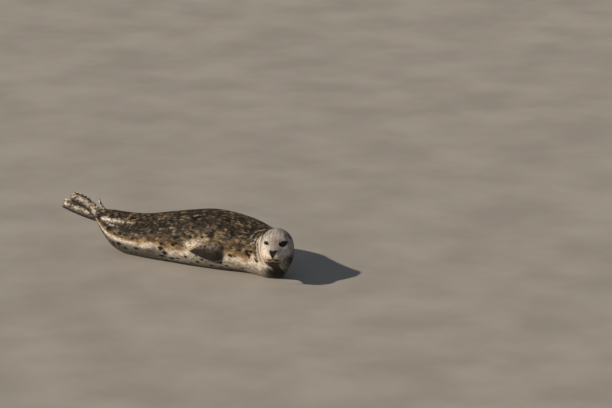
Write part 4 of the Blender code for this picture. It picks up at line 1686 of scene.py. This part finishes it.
@dataclass(frozen=True)
class CoatFinish:
    """Spotted coat of a harbor seal, the same on the skin and on the tufts over it."""

    deep_back: tuple = (0.022, 0.016, 0.011)
    back: tuple = (0.092, 0.064, 0.037)
    flank: tuple = (0.188, 0.124, 0.061)
    tan: tuple = (0.385, 0.245, 0.112)
    cream: tuple = (0.760, 0.665, 0.545)
    belly: tuple = (0.350, 0.300, 0.240)
    # darkest stop, at the very underside: darker than the belly, partly painted shade where the body
    # turns under
    throat: tuple = (0.200, 0.172, 0.140)
    mottle: tuple = (0.380, 0.275, 0.160)
    murk: tuple = (0.150, 0.122, 0.094)
    spot: tuple = (0.006, 0.005, 0.004)
    face_low: tuple = (0.330, 0.275, 0.220)
    face_high: tuple = (0.700, 0.610, 0.500)
    crown: tuple = (0.500, 0.430, 0.385)
    bridge: tuple = (0.215, 0.164, 0.128)
    freckle: tuple = (0.230, 0.180, 0.135)
    cheek: tuple = (0.760, 0.660, 0.530)
    pads: tuple = (0.400, 0.290, 0.175)
    # painted shade: near-black coat where shade falls under the chin, the throat and the hips
    painted_chin_shade: tuple = (0.014, 0.011, 0.009)
    limb_dark: tuple = (0.013, 0.010, 0.008)
    limb_pale: tuple = (0.560, 0.455, 0.345)
    leather: tuple = (0.006, 0.005, 0.005)
    # lengths along the spine at which the muzzle and its pads begin
    muzzle_start: tuple = (1.2800, 1.3050)
    pads_start: tuple = (1.3180, 1.3300)
    # cells for each metre, largest radius, and share of them on the back and on the belly
    spot_kinds: tuple = (
        (25.0, 0.32, 0.66, 0.17), (46.0, 0.36, 0.66, 0.40), (92.0, 0.32, 0.50, 0.46),
    )

    def colour(self, recipe: Recipe) -> Socket:
        """Nodes of the markings, with painted shade under the chin, the throat and the hips."""
        root = recipe.vector("root")
        ventral, face, limb = recipe.parts("tone")
        pale, dark, black = recipe.parts("mark")
        digits, tint, angle = recipe.parts("extra")
        drift = recipe.move("SUBTRACT", recipe.noise(root, 24.0).outputs["Color"], (0.5, 0.5, 0.5))
        warped = recipe.move("ADD", root, recipe.move("MULTIPLY", drift, (0.030, 0.022, 0.022)))
        broad = recipe.cloud(root, 13.0, 3.0)
        cloud = recipe.cloud(warped, 60.0, 4.0, 0.62)
        edge = recipe.plus(ventral, recipe.times(recipe.minus(broad, 0.5), 0.36))
        edge = recipe.plus(edge, recipe.times(recipe.minus(cloud, 0.5), 0.26), True)
        coat = recipe.ramp(
            edge,
            (
                (0.00, self.deep_back), (0.20, self.back), (0.40, self.flank), (0.50, self.tan),
                (0.59, self.cream), (0.76, self.belly), (1.00, self.throat),
            ),
        )
        under = recipe.step(ventral, 0.40, 0.62)
        upper = recipe.minus(1.0, under)
        lengthwise = recipe.move("MULTIPLY", warped, (0.62, 1.0, 1.0))
        coat = self.mottle_back(recipe, coat, lengthwise, cloud, upper)
        murk = recipe.times(recipe.step(cloud, 0.46, 0.58), under)
        coat = recipe.blend(recipe.times(murk, 0.46), coat, self.murk)
        spread = recipe.times(face, recipe.minus(1.0, face))
        shift = recipe.times(recipe.minus(cloud, 0.5), 9.0)
        border = recipe.plus(face, recipe.times(spread, shift), True)
        coat = recipe.blend(border, coat, self.face_colour(recipe, root, angle))
        # painted shade under the chin, the throat and the hips
        coat = recipe.blend(recipe.times(digits, 0.93), coat, self.painted_chin_shade)
        ragged = recipe.step(recipe.cloud(warped, 75.0, 4.0, 0.6), 0.38, 0.56, 0.05, 1.0)
        ragged = recipe.larger(ragged, recipe.step(recipe.parts("root")[0], 0.520, 0.535))
        # pale marks: partly painted highlights on the ruff, the keel line and the neck folds
        coat = recipe.blend(recipe.times(pale, ragged), coat, self.cream)
        spots = self.spots(recipe, lengthwise, under, face)
        spots = recipe.times(spots, recipe.step(pale, 0.1, 0.8, 1.0, 0.15))
        # dark marks: real spots, with painted shade in creases and a painted shadow under the fore
        # flipper
        dark_mark = recipe.step(recipe.plus(dark, recipe.times(cloud, 0.3)), 0.55, 0.75)
        spots = recipe.larger(spots, dark_mark)
        coat = recipe.blend(recipe.times(spots, 0.97), coat, self.spot)
        blotch = recipe.cloud(root, 62.0, 4.0, 0.65)
        share = recipe.times(digits, recipe.step(blotch, 0.42, 0.56, 0.12, 1.20), True)
        coat = recipe.blend(limb, coat, recipe.blend(share, self.limb_dark, self.limb_pale))
        coat = recipe.blend(black, coat, self.leather)
        shade = recipe.step(tint, 0.0, 1.0, 0.84, 1.16)
        grey = recipe.node("ShaderNodeCombineColor", {0: shade, 1: shade, 2: shade})
        return recipe.blend(1.0, coat, grey.outputs[0], "MULTIPLY")

    def mottle_back(
        self, recipe: Recipe, coat: Socket, warped: Socket, cloud: Socket, upper: Socket
    ) -> Socket:
        """Pale rings, pale flecks and dark clouds on the back.

        Args:
            recipe: the finish that takes the nodes.
            coat: colour so far.
            warped: places of the tufts' roots, drawn out along the body.
            cloud: fine cloud over the coat.
            upper: 1 on the back and 0 on the belly.

        Returns:
            The colour with the mottling.
        """
        distance, chance = recipe.cells(warped, 27.0)
        band = recipe.math("ABSOLUTE", recipe.minus(distance, 0.42))
        ring = recipe.step(band, 0.03, 0.09, 1.0, 0.0)
        ring = recipe.times(ring, recipe.step(chance[0], 0.35, 0.55))
        ring = recipe.times(ring, recipe.step(cloud, 0.42, 0.60))
        grain = recipe.cloud(warped, 68.0, 2.5, 0.55)
        fleck = recipe.larger(ring, recipe.step(grain, 0.53, 0.60))
        patchy = recipe.cloud(recipe.vector("root"), 17.0, 2.0)
        share = recipe.times(fleck, recipe.step(patchy, 0.36, 0.60, 0.30, 1.0))
        share = recipe.times(share, recipe.times(upper, 0.76))
        coat = recipe.blend(share, coat, self.mottle)
        murk = recipe.step(recipe.cloud(warped, 40.0, 3.0, 0.55), 0.49, 0.60)
        murk = recipe.larger(murk, recipe.step(grain, 0.40, 0.46, 1.0, 0.0))
        return recipe.blend(recipe.times(recipe.times(murk, upper), 0.72), coat, self.deep_back)

    def spots(self, recipe: Recipe, warped: object, under: object, face: object) -> Socket:
        """Black spots: large and close on the back, small and few on the belly and face."""
        total = None
        for scale, radius, back_share, belly_share in self.spot_kinds:
            distance, chance = recipe.cells(warped, scale)
            size = recipe.plus(recipe.times(chance[0], radius), 0.08)
            size = recipe.times(size, recipe.step(under, 0.0, 1.0, 1.0, 0.8))
            inside = recipe.step(recipe.minus(distance, size), -0.05, 0.05, 1.0, 0.0)
            wanted = recipe.step(under, 0.0, 1.0, back_share, belly_share)
            present = recipe.math("LESS_THAN", chance[1], wanted)
            found = recipe.times(inside, present)
            total = found if total is None else recipe.larger(total, found)
        return recipe.times(total, recipe.step(face, 0.2, 0.9, 1.0, 0.0))

    def face_colour(self, recipe: Recipe, root: object, angle: object) -> Socket:
        """Silver face with a darker crown and fine flecks.

        Args:
            recipe: the finish that takes the nodes.
            root: places of the tufts' roots.
            angle: their angles round the spine.

        Returns:
            The colour of the face.
        """
        cloud = recipe.cloud(root, 55.0, 4.0, 0.6)
        base = recipe.ramp(cloud, ((0.36, self.face_low), (0.62, self.face_high)))
        turn = recipe.math("ABSOLUTE", angle)
        base = recipe.blend(recipe.step(turn, 0.35, 1.35, 0.62, 0.0), base, self.crown)
        beside, along, _ = recipe.parts("grain")
        muzzle = recipe.step(along, *self.muzzle_start)
        cheek = recipe.times(recipe.step(turn, 0.75, 1.15), recipe.step(turn, 1.75, 2.20, 1.0, 0.0))
        cheek = recipe.times(cheek, recipe.times(muzzle, 0.62))
        base = recipe.blend(cheek, base, self.cheek)
        bridge = recipe.times(recipe.step(turn, 0.25, 0.75, 0.60, 0.0), muzzle)
        base = recipe.blend(bridge, base, self.bridge)
        pads = recipe.times(recipe.step(along, *self.pads_start), recipe.step(turn, 1.15, 1.45))
        base = recipe.blend(recipe.times(pads, 0.80), base, self.pads)
        line = recipe.step(recipe.streaks(beside, 75.0, along, 22.0), 0.50, 0.62)
        line = recipe.times(line, recipe.step(turn, 0.7, 1.3, 0.45, 0.15))
        base = recipe.blend(line, base, self.deep_back)
        freckle = recipe.step(recipe.cloud(root, 125.0, 3.0, 0.6), 0.50, 0.60)
        base = recipe.blend(recipe.times(freckle, 0.42), base, self.freckle)
        distance, chance = recipe.cells(root, 165.0)
        fleck = recipe.step(distance, 0.16, 0.30, 1.0, 0.0)
        fleck = recipe.times(fleck, recipe.math("LESS_THAN", chance[1], 0.34))
        return recipe.blend(recipe.times(fleck, 0.60), base, self.spot)

    def skin(self) -> Material:
        """Finish of the skin, with fine hair in its bump and smooth bare leather."""
        recipe = Recipe("seal_skin")
        recipe.surface({"Base Color": self.colour(recipe)})
        beside, along, bare = recipe.parts("grain")
        hair = recipe.streaks(beside, 1400.0, along, 110.0)
        pores = recipe.cloud(recipe.vector("root"), 1500.0, 2.0)
        height = recipe.node("ShaderNodeMix", {0: bare, 2: hair, 3: pores}, data_type="FLOAT")
        recipe.bump(height.outputs[0], 0.45, 0.0009)
        rough = recipe.step(bare, 0.0, 1.0, 0.60, 0.46)
        recipe.surface({"Roughness": rough, "Specular IOR Level": 0.18})
        return recipe.material

    def tufts(self) -> Material:
        """Finish of the tufts."""
        recipe = Recipe("seal_coat")
        recipe.surface({"Base Color": self.colour(recipe)})
        recipe.surface({"Roughness": 0.58, "Specular IOR Level": 0.14})
        return recipe.material


@dataclass(frozen=True)
class EyeFinish:
    """Wet, nearly black eye with a brown iris."""

    radius: float
    pupil: tuple = (0.002, 0.002, 0.002)
    iris: tuple = (0.009, 0.0055, 0.004)
    rim: tuple = (0.004, 0.003, 0.003)
    # reach of the pupil and of the iris, in parts of the ball's radius
    pupil_edge: tuple = (0.26, 0.31)
    iris_edge: tuple = (0.56, 0.66)

    def build(self) -> Material:
        """Rings of colour round the ball's own axis, under a clear wet coat."""
        recipe = Recipe("wet_eye")
        where = recipe.node("ShaderNodeTexCoord").outputs["Object"]
        flat = recipe.move("MULTIPLY", where, (1.0, 1.0, 0.0))
        away = recipe.node("ShaderNodeVectorMath", {0: flat}, operation="LENGTH")
        ring = recipe.math("DIVIDE", away.outputs["Value"], self.radius)
        fibres = recipe.cloud(recipe.move("NORMALIZE", flat, (0.0, 0.0, 0.0)), 9.0, 4.0)
        iris = recipe.blend(fibres, self.rim, self.iris)
        colour = recipe.blend(recipe.step(ring, *self.pupil_edge), self.pupil, iris)
        colour = recipe.blend(recipe.step(ring, *self.iris_edge), colour, self.rim)
        recipe.surface({"Base Color": colour, "Roughness": 0.30, "Specular IOR Level": 0.10})
        recipe.surface({"Coat Weight": 1.0, "Coat IOR": 1.34, "Coat Roughness": 0.03})
        return recipe.material


@dataclass(frozen=True)
class HornFinish:
    """Dark horn of the claws, with growth lines and a paler tip."""

    base: tuple = (0.020, 0.016, 0.013)
    tip: tuple = (0.130, 0.100, 0.070)

    def build(self) -> Material:
        """Horn that pales towards the point."""
        recipe = Recipe("claw_horn")
        along, _, _ = recipe.parts("grain")
        grain = recipe.cloud(recipe.vector("grain"), 14.0, 3.0)
        share = recipe.plus(recipe.step(along, 0.45, 1.0), recipe.times(grain, 0.25), True)
        recipe.surface({"Base Color": recipe.blend(share, self.base, self.tip)})
        lines = recipe.math("SINE", recipe.times(along, 60.0))
        recipe.bump(lines, 0.12, 0.0002)
        recipe.surface({"Roughness": recipe.step(grain, 0.3, 0.7, 0.30, 0.44)})
        return recipe.material


@dataclass(frozen=True)
class WhiskerFinish:
    """Pale springy hair, darker where it grows."""

    base: tuple = (0.260, 0.205, 0.140)
    tip: tuple = (0.520, 0.450, 0.350)

    def build(self) -> Material:
        """Hair that pales towards its end."""
        recipe = Recipe("whisker_hair")
        along, _, _ = recipe.parts("grain")
        colour = recipe.blend(recipe.step(along, 0.0, 0.4), self.base, self.tip)
        recipe.surface({"Base Color": colour, "Roughness": 0.36})
        return recipe.material


@dataclass(frozen=True)
class FloorFinish:
    """Pale matt floor of a studio."""

    low: tuple = (0.235, 0.205, 0.172)
    high: tuple = (0.285, 0.252, 0.215)

    def build(self) -> Material:
        """Faintly clouded plaster."""
        recipe = Recipe("studio_floor")
        where = recipe.node("ShaderNodeTexCoord").outputs["Object"]
        cloud = recipe.cloud(where, 2.2, 5.0)
        colour = recipe.ramp(cloud, ((0.35, self.low), (0.65, self.high)))
        recipe.surface({"Base Color": colour, "Roughness": 0.78})
        return recipe.material


# ---------- eyes, claws, whiskers
@dataclass
class Eyeball:
    """One ball with the clear bulge of the cornea."""

    spine: Spine
    eye: EyeSeat
    bulge: float = 0.0008
    rings: int = 48
    columns: int = 64

    def build(self, finish: Material) -> Piece:
        """Makes the ball with its own Z axis on the line of sight."""
        turns = np.linspace(0.0, math.pi, self.rings + 1)[1:-1]
        round_turns = 2.0 * math.pi * np.arange(self.columns) / self.columns
        down, round_turn = np.repeat(turns, self.columns), np.tile(round_turns, len(turns))
        size = self.eye.radius + self.bulge * hump(down, 0.0, 0.42)
        flat = size * np.sin(down)
        level = (flat * np.cos(round_turn), flat * np.sin(round_turn))
        points = np.stack((*level, size * np.cos(down)), -1)
        poles = np.array(((0.0, 0.0, self.eye.radius + self.bulge), (0.0, 0.0, -self.eye.radius)))
        faces = grid_faces(len(turns), self.columns)
        count, last = len(points), len(points) - self.columns
        for column in range(self.columns):
            after = (column + 1) % self.columns
            faces.append((count, after, column))
            faces.append((count + 1, last + column, last + after))
        name = "eyeball_" + self.eye.side.value
        ball = make_mesh(name, np.concatenate((points, poles)), faces)
        face_out(ball)
        middle, out, _, _ = self.eye.seat(self.spine)
        ball.location = middle
        ball.rotation_mode = "QUATERNION"
        ball.rotation_quaternion = Vector(out).to_track_quat("Z", "Y")
        ball.data.materials.append(finish)
        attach(ball, BODY)
        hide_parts("eye_" + self.eye.side.value)
        return ball


@dataclass
class Claws:
    """The five claws of one flipper."""

    limb: Plate
    length: float
    radius: float
    gap: float = 0.0007
    root_depth: float = 0.0035
    slimness: float = 0.82  # width of a claw, in parts of its height
    droop: float = 0.22  # of its point, in parts of its length
    sides: int = 14
    rings: int = 14

    def build(self, finish: Material) -> None:
        """Makes each claw and lets it stand for its node."""
        for number, across in enumerate(DIGITS, 1):
            self.claw(number, across, finish)
        LOG.info("claws of %s %s", self.limb.name, self.limb.side.value)

    def claw(self, number: int, across: float, finish: Material) -> None:
        """One curved claw, from inside the digit to its point.

        Args:
            number: the digit, from 1.
            across: its way across the flipper.
            finish: the horn.
        """
        root, way, out = self.limb.claw_base(across)
        spread = 1.5 * self.radius / float(self.limb.half_width(np.array(1.0)))
        edge = max(float(self.limb.reach(np.array(across + side * spread))) for side in (-1.0, 1.0))
        stand = self.gap + max(edge - float(self.limb.reach(np.array(across))), 0.0)
        beside = unit(np.cross(way, out))
        start = -(stand + self.root_depth) / self.length
        along = np.linspace(start, 1.0, self.rings)
        grown = np.clip(along, 0.0, 1.0)
        size = self.radius * (1.0 - 0.94 * grown**1.7) * rise(along, start - 0.2, start + 0.25)
        centre = root + way * (stand + self.length * along)[:, None]
        centre = centre - out * (self.length * self.droop * grown**2)[:, None]
        points = rod_points(centre, size, self.slimness * beside, out, self.sides)
        points[:, 2] = np.maximum(points[:, 2], 0.0)
        faces = rod_faces(self.rings, self.sides)
        node = f"{self.limb.name}_{self.limb.side.value}_claw_{number}"
        piece = make_mesh(node.replace("flipper", "nail"), points, faces)
        face_out(piece)
        around = np.cos(2.0 * math.pi * np.arange(self.sides) / self.sides)
        ways = (np.repeat(along, self.sides), np.tile(around, self.rings), np.zeros(len(points)))
        grain = np.stack(ways, -1)
        add_vectors(piece.data, "grain", grain)
        piece.data.materials.append(finish)
        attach(piece, BODY)
        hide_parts(node)


@dataclass
class Whiskers:
    """Stiff hairs of the pads and the brows."""

    face: Face
    seed: int = 5
    thickness: float = 0.00028
    sides: int = 6
    rings: int = 14
    shortest: float = 0.022
    longest: float = 0.074
    brow: float = 0.020

    def hair(self, root: Array, way: Array, bend: Array, length: float) -> tuple:
        """Points and faces of one tapered, faintly wavy hair.

        Args:
            root: where it grows.
            way: the way it sets out.
            bend: how far its end strays from that way, in parts of its length.
            length: its length.

        Returns:
            Points, faces and the way along of each point.
        """
        along = np.linspace(0.0, 1.0, self.rings)
        line = root + (way[None] * along[:, None] + bend[None] * (along**2)[:, None]) * length
        beside = unit(np.cross(way, np.array((0.1, 0.2, 1.0))))
        above = unit(np.cross(beside, way))
        line = line + beside * (0.0004 * np.sin(along * 26.0) * along)[:, None]
        size = self.thickness * (1.0 - 0.8 * along)
        points = rod_points(line, size, beside, above, self.sides)
        return points, rod_faces(self.rings, self.sides), np.repeat(along, self.sides)

    def build(self, finish: Material) -> None:
        """Makes the hairs of each side as one piece."""
        spine = self.face.spine
        _, way, right = spine.head_axes()
        up = np.array((0.0, 0.0, 1.0))
        for side in Side:
            random = np.random.default_rng(self.seed)
            outward = right * side.sign
            points, faces, along, hairs = [], [], [], []
            for root in self.face.follicles(side):
                forward, _, height = spine.head_frame(root[None])
                part = float(np.clip((0.140 - forward[0]) / 0.036, 0.0, 1.0))
                low = float(np.clip((-0.005 - height[0]) / 0.045, 0.0, 1.0))
                start = outward * (0.55 + 0.45 * part) + way * (0.55 - 0.45 * part)
                start = unit(start - up * (0.05 + 0.55 * low) + random.normal(0.0, 0.07, 3))
                bend = -way * (0.20 + 0.15 * part) - up * (0.30 + 0.1 * low)
                length = self.shortest + (self.longest - self.shortest) * part**0.8
                hairs.append((root, start, bend, length * random.uniform(0.85, 1.1)))
            for root in self.face.brow_roots(side):
                start = unit(outward * 0.25 + up * 0.55 + way * 0.75 + random.normal(0.0, 0.1, 3))
                bend = outward * 0.4 - way * 0.5
                hairs.append((root, start, bend, self.brow * random.uniform(0.7, 1.1)))
            count = 0
            for root, start, bend, length in hairs:
                own, strips, ways = self.hair(root, start, bend, length)
                points.append(own)
                faces += [tuple(count + corner for corner in strip) for strip in strips]
                along.append(ways)
                count += len(own)
            piece = make_mesh("whiskers_" + side.value, np.concatenate(points), faces)
            flat = np.zeros(count)
            add_vectors(piece.data, "grain", np.stack((np.concatenate(along), flat, flat), -1))
            piece.data.materials.append(finish)
            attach(piece, BODY)
            LOG.info("whiskers on the %s: %d", side.value, len(hairs))


# ---------- studio
@dataclass
class Studio:
    """Pale floor, soft light and the camera."""

    azimuth: float = 28.0
    elevation: float = 15.0
    distance: float = 22.0
    lens: float = 249.0
    aim: tuple = (0.532, 0.366, 0.132)  # from the middle of the model's box
    floor_side: float = 90.0
    floor_drop: float = 0.0003
    key_way: tuple = (-0.62, -0.78, 0.63)
    key_power: float = 5.2
    key_angle: float = 1.5
    key_colour: tuple = (1.0, 0.92, 0.80)
    sky: tuple = (0.66, 0.76, 0.92)
    sky_power: float = 0.30

    def build(self) -> None:
        """Sets up the whole studio."""
        low, high = CAD_BOX
        middle = (low + high) / 2.0
        self.lay_floor()
        self.light()
        self.place_camera(middle + Vector(self.aim))

    def lay_floor(self) -> None:
        """Floor just under the animal."""
        half = self.floor_side / 2.0
        corners = np.array(((-half, -half), (half, -half), (half, half), (-half, half)))
        points = np.column_stack((corners, np.full(4, -self.floor_drop)))
        floor = make_mesh("studio_floor", points, [(0, 1, 2, 3)])
        floor.data.materials.append(FloorFinish().build())

    def light(self) -> None:
        """One broad key from the tail side, and an even sky."""
        lamp = bpy.data.lights.new("key", "SUN")
        lamp.energy = self.key_power
        lamp.angle = math.radians(self.key_angle)
        lamp.color = self.key_colour
        key = add_object("key", lamp)
        key.rotation_mode = "QUATERNION"
        key.rotation_quaternion = Vector(self.key_way).to_track_quat("Z", "Y")
        world = bpy.data.worlds.new("studio_sky")
        world.use_nodes = True
        back = world.node_tree.nodes["Background"]
        back.inputs["Color"].default_value = (*self.sky, 1.0)
        back.inputs["Strength"].default_value = self.sky_power
        bpy.context.scene.world = world
        bpy.context.scene.view_settings.view_transform = "Standard"

    def place_camera(self, aim: Vector) -> None:
        """Long lens, low over the floor."""
        turn, tilt = math.radians(self.azimuth), math.radians(self.elevation)
        level = math.cos(tilt)
        back = Vector((math.sin(turn) * level, -math.cos(turn) * level, math.sin(tilt)))
        camera = add_object("camera", bpy.data.cameras.new("camera"))
        camera.data.lens = self.lens
        camera.data.clip_start, camera.data.clip_end = 0.5, 200.0
        camera.location = aim + back * self.distance
        camera.rotation_mode = "QUATERNION"
        camera.rotation_quaternion = (-back).to_track_quat("-Z", "Y")
        bpy.context.scene.camera = camera


def main() -> None:
    """Builds the seal piece by piece."""
    logging.basicConfig(level=logging.INFO, format="%(name)s: %(message)s")
    Studio().build()
    spine = Spine()
    face = Face(spine)
    limbs = (
        ForeFlipper(spine, Side.RIGHT),
        ForeFlipper(spine, Side.LEFT),
        HindFlipper(spine, Side.RIGHT),
        HindFlipper(
            spine, Side.LEFT, way=(-0.221, -0.010, 0.046), length=0.2265, width=0.026, arch=-0.006,
            fork=0.02, lean=-0.06,
        ),
        Tail(spine, Side.RIGHT),
    )
    finish = CoatFinish()
    skin = Skin(spine, face, Markings(spine), limbs)
    body = skin.build()
    body.data.materials.clear()
    body.data.materials.append(finish.skin())
    LOG.info("skin: %d points, %d faces", len(body.data.vertices), len(body.data.polygons))
    coat = Coat(skin)
    tuft_finish = finish.tufts()
    for piece in coat.build():
        piece.data.materials.append(tuft_finish)
    for eye in face.eyes:
        Eyeball(spine, eye).build(EyeFinish(eye.radius).build())
        LOG.info("eyeball on the %s", eye.side.value)
    horn = HornFinish().build()
    for limb in limbs[:2]:
        Claws(limb, length=0.014, radius=0.0024).build(horn)
    for limb in limbs[2:4]:
        Claws(limb, length=0.009, radius=0.0017).build(horn)
    Whiskers(face).build(WhiskerFinish().build())


if __name__ == "__main__":
    main()
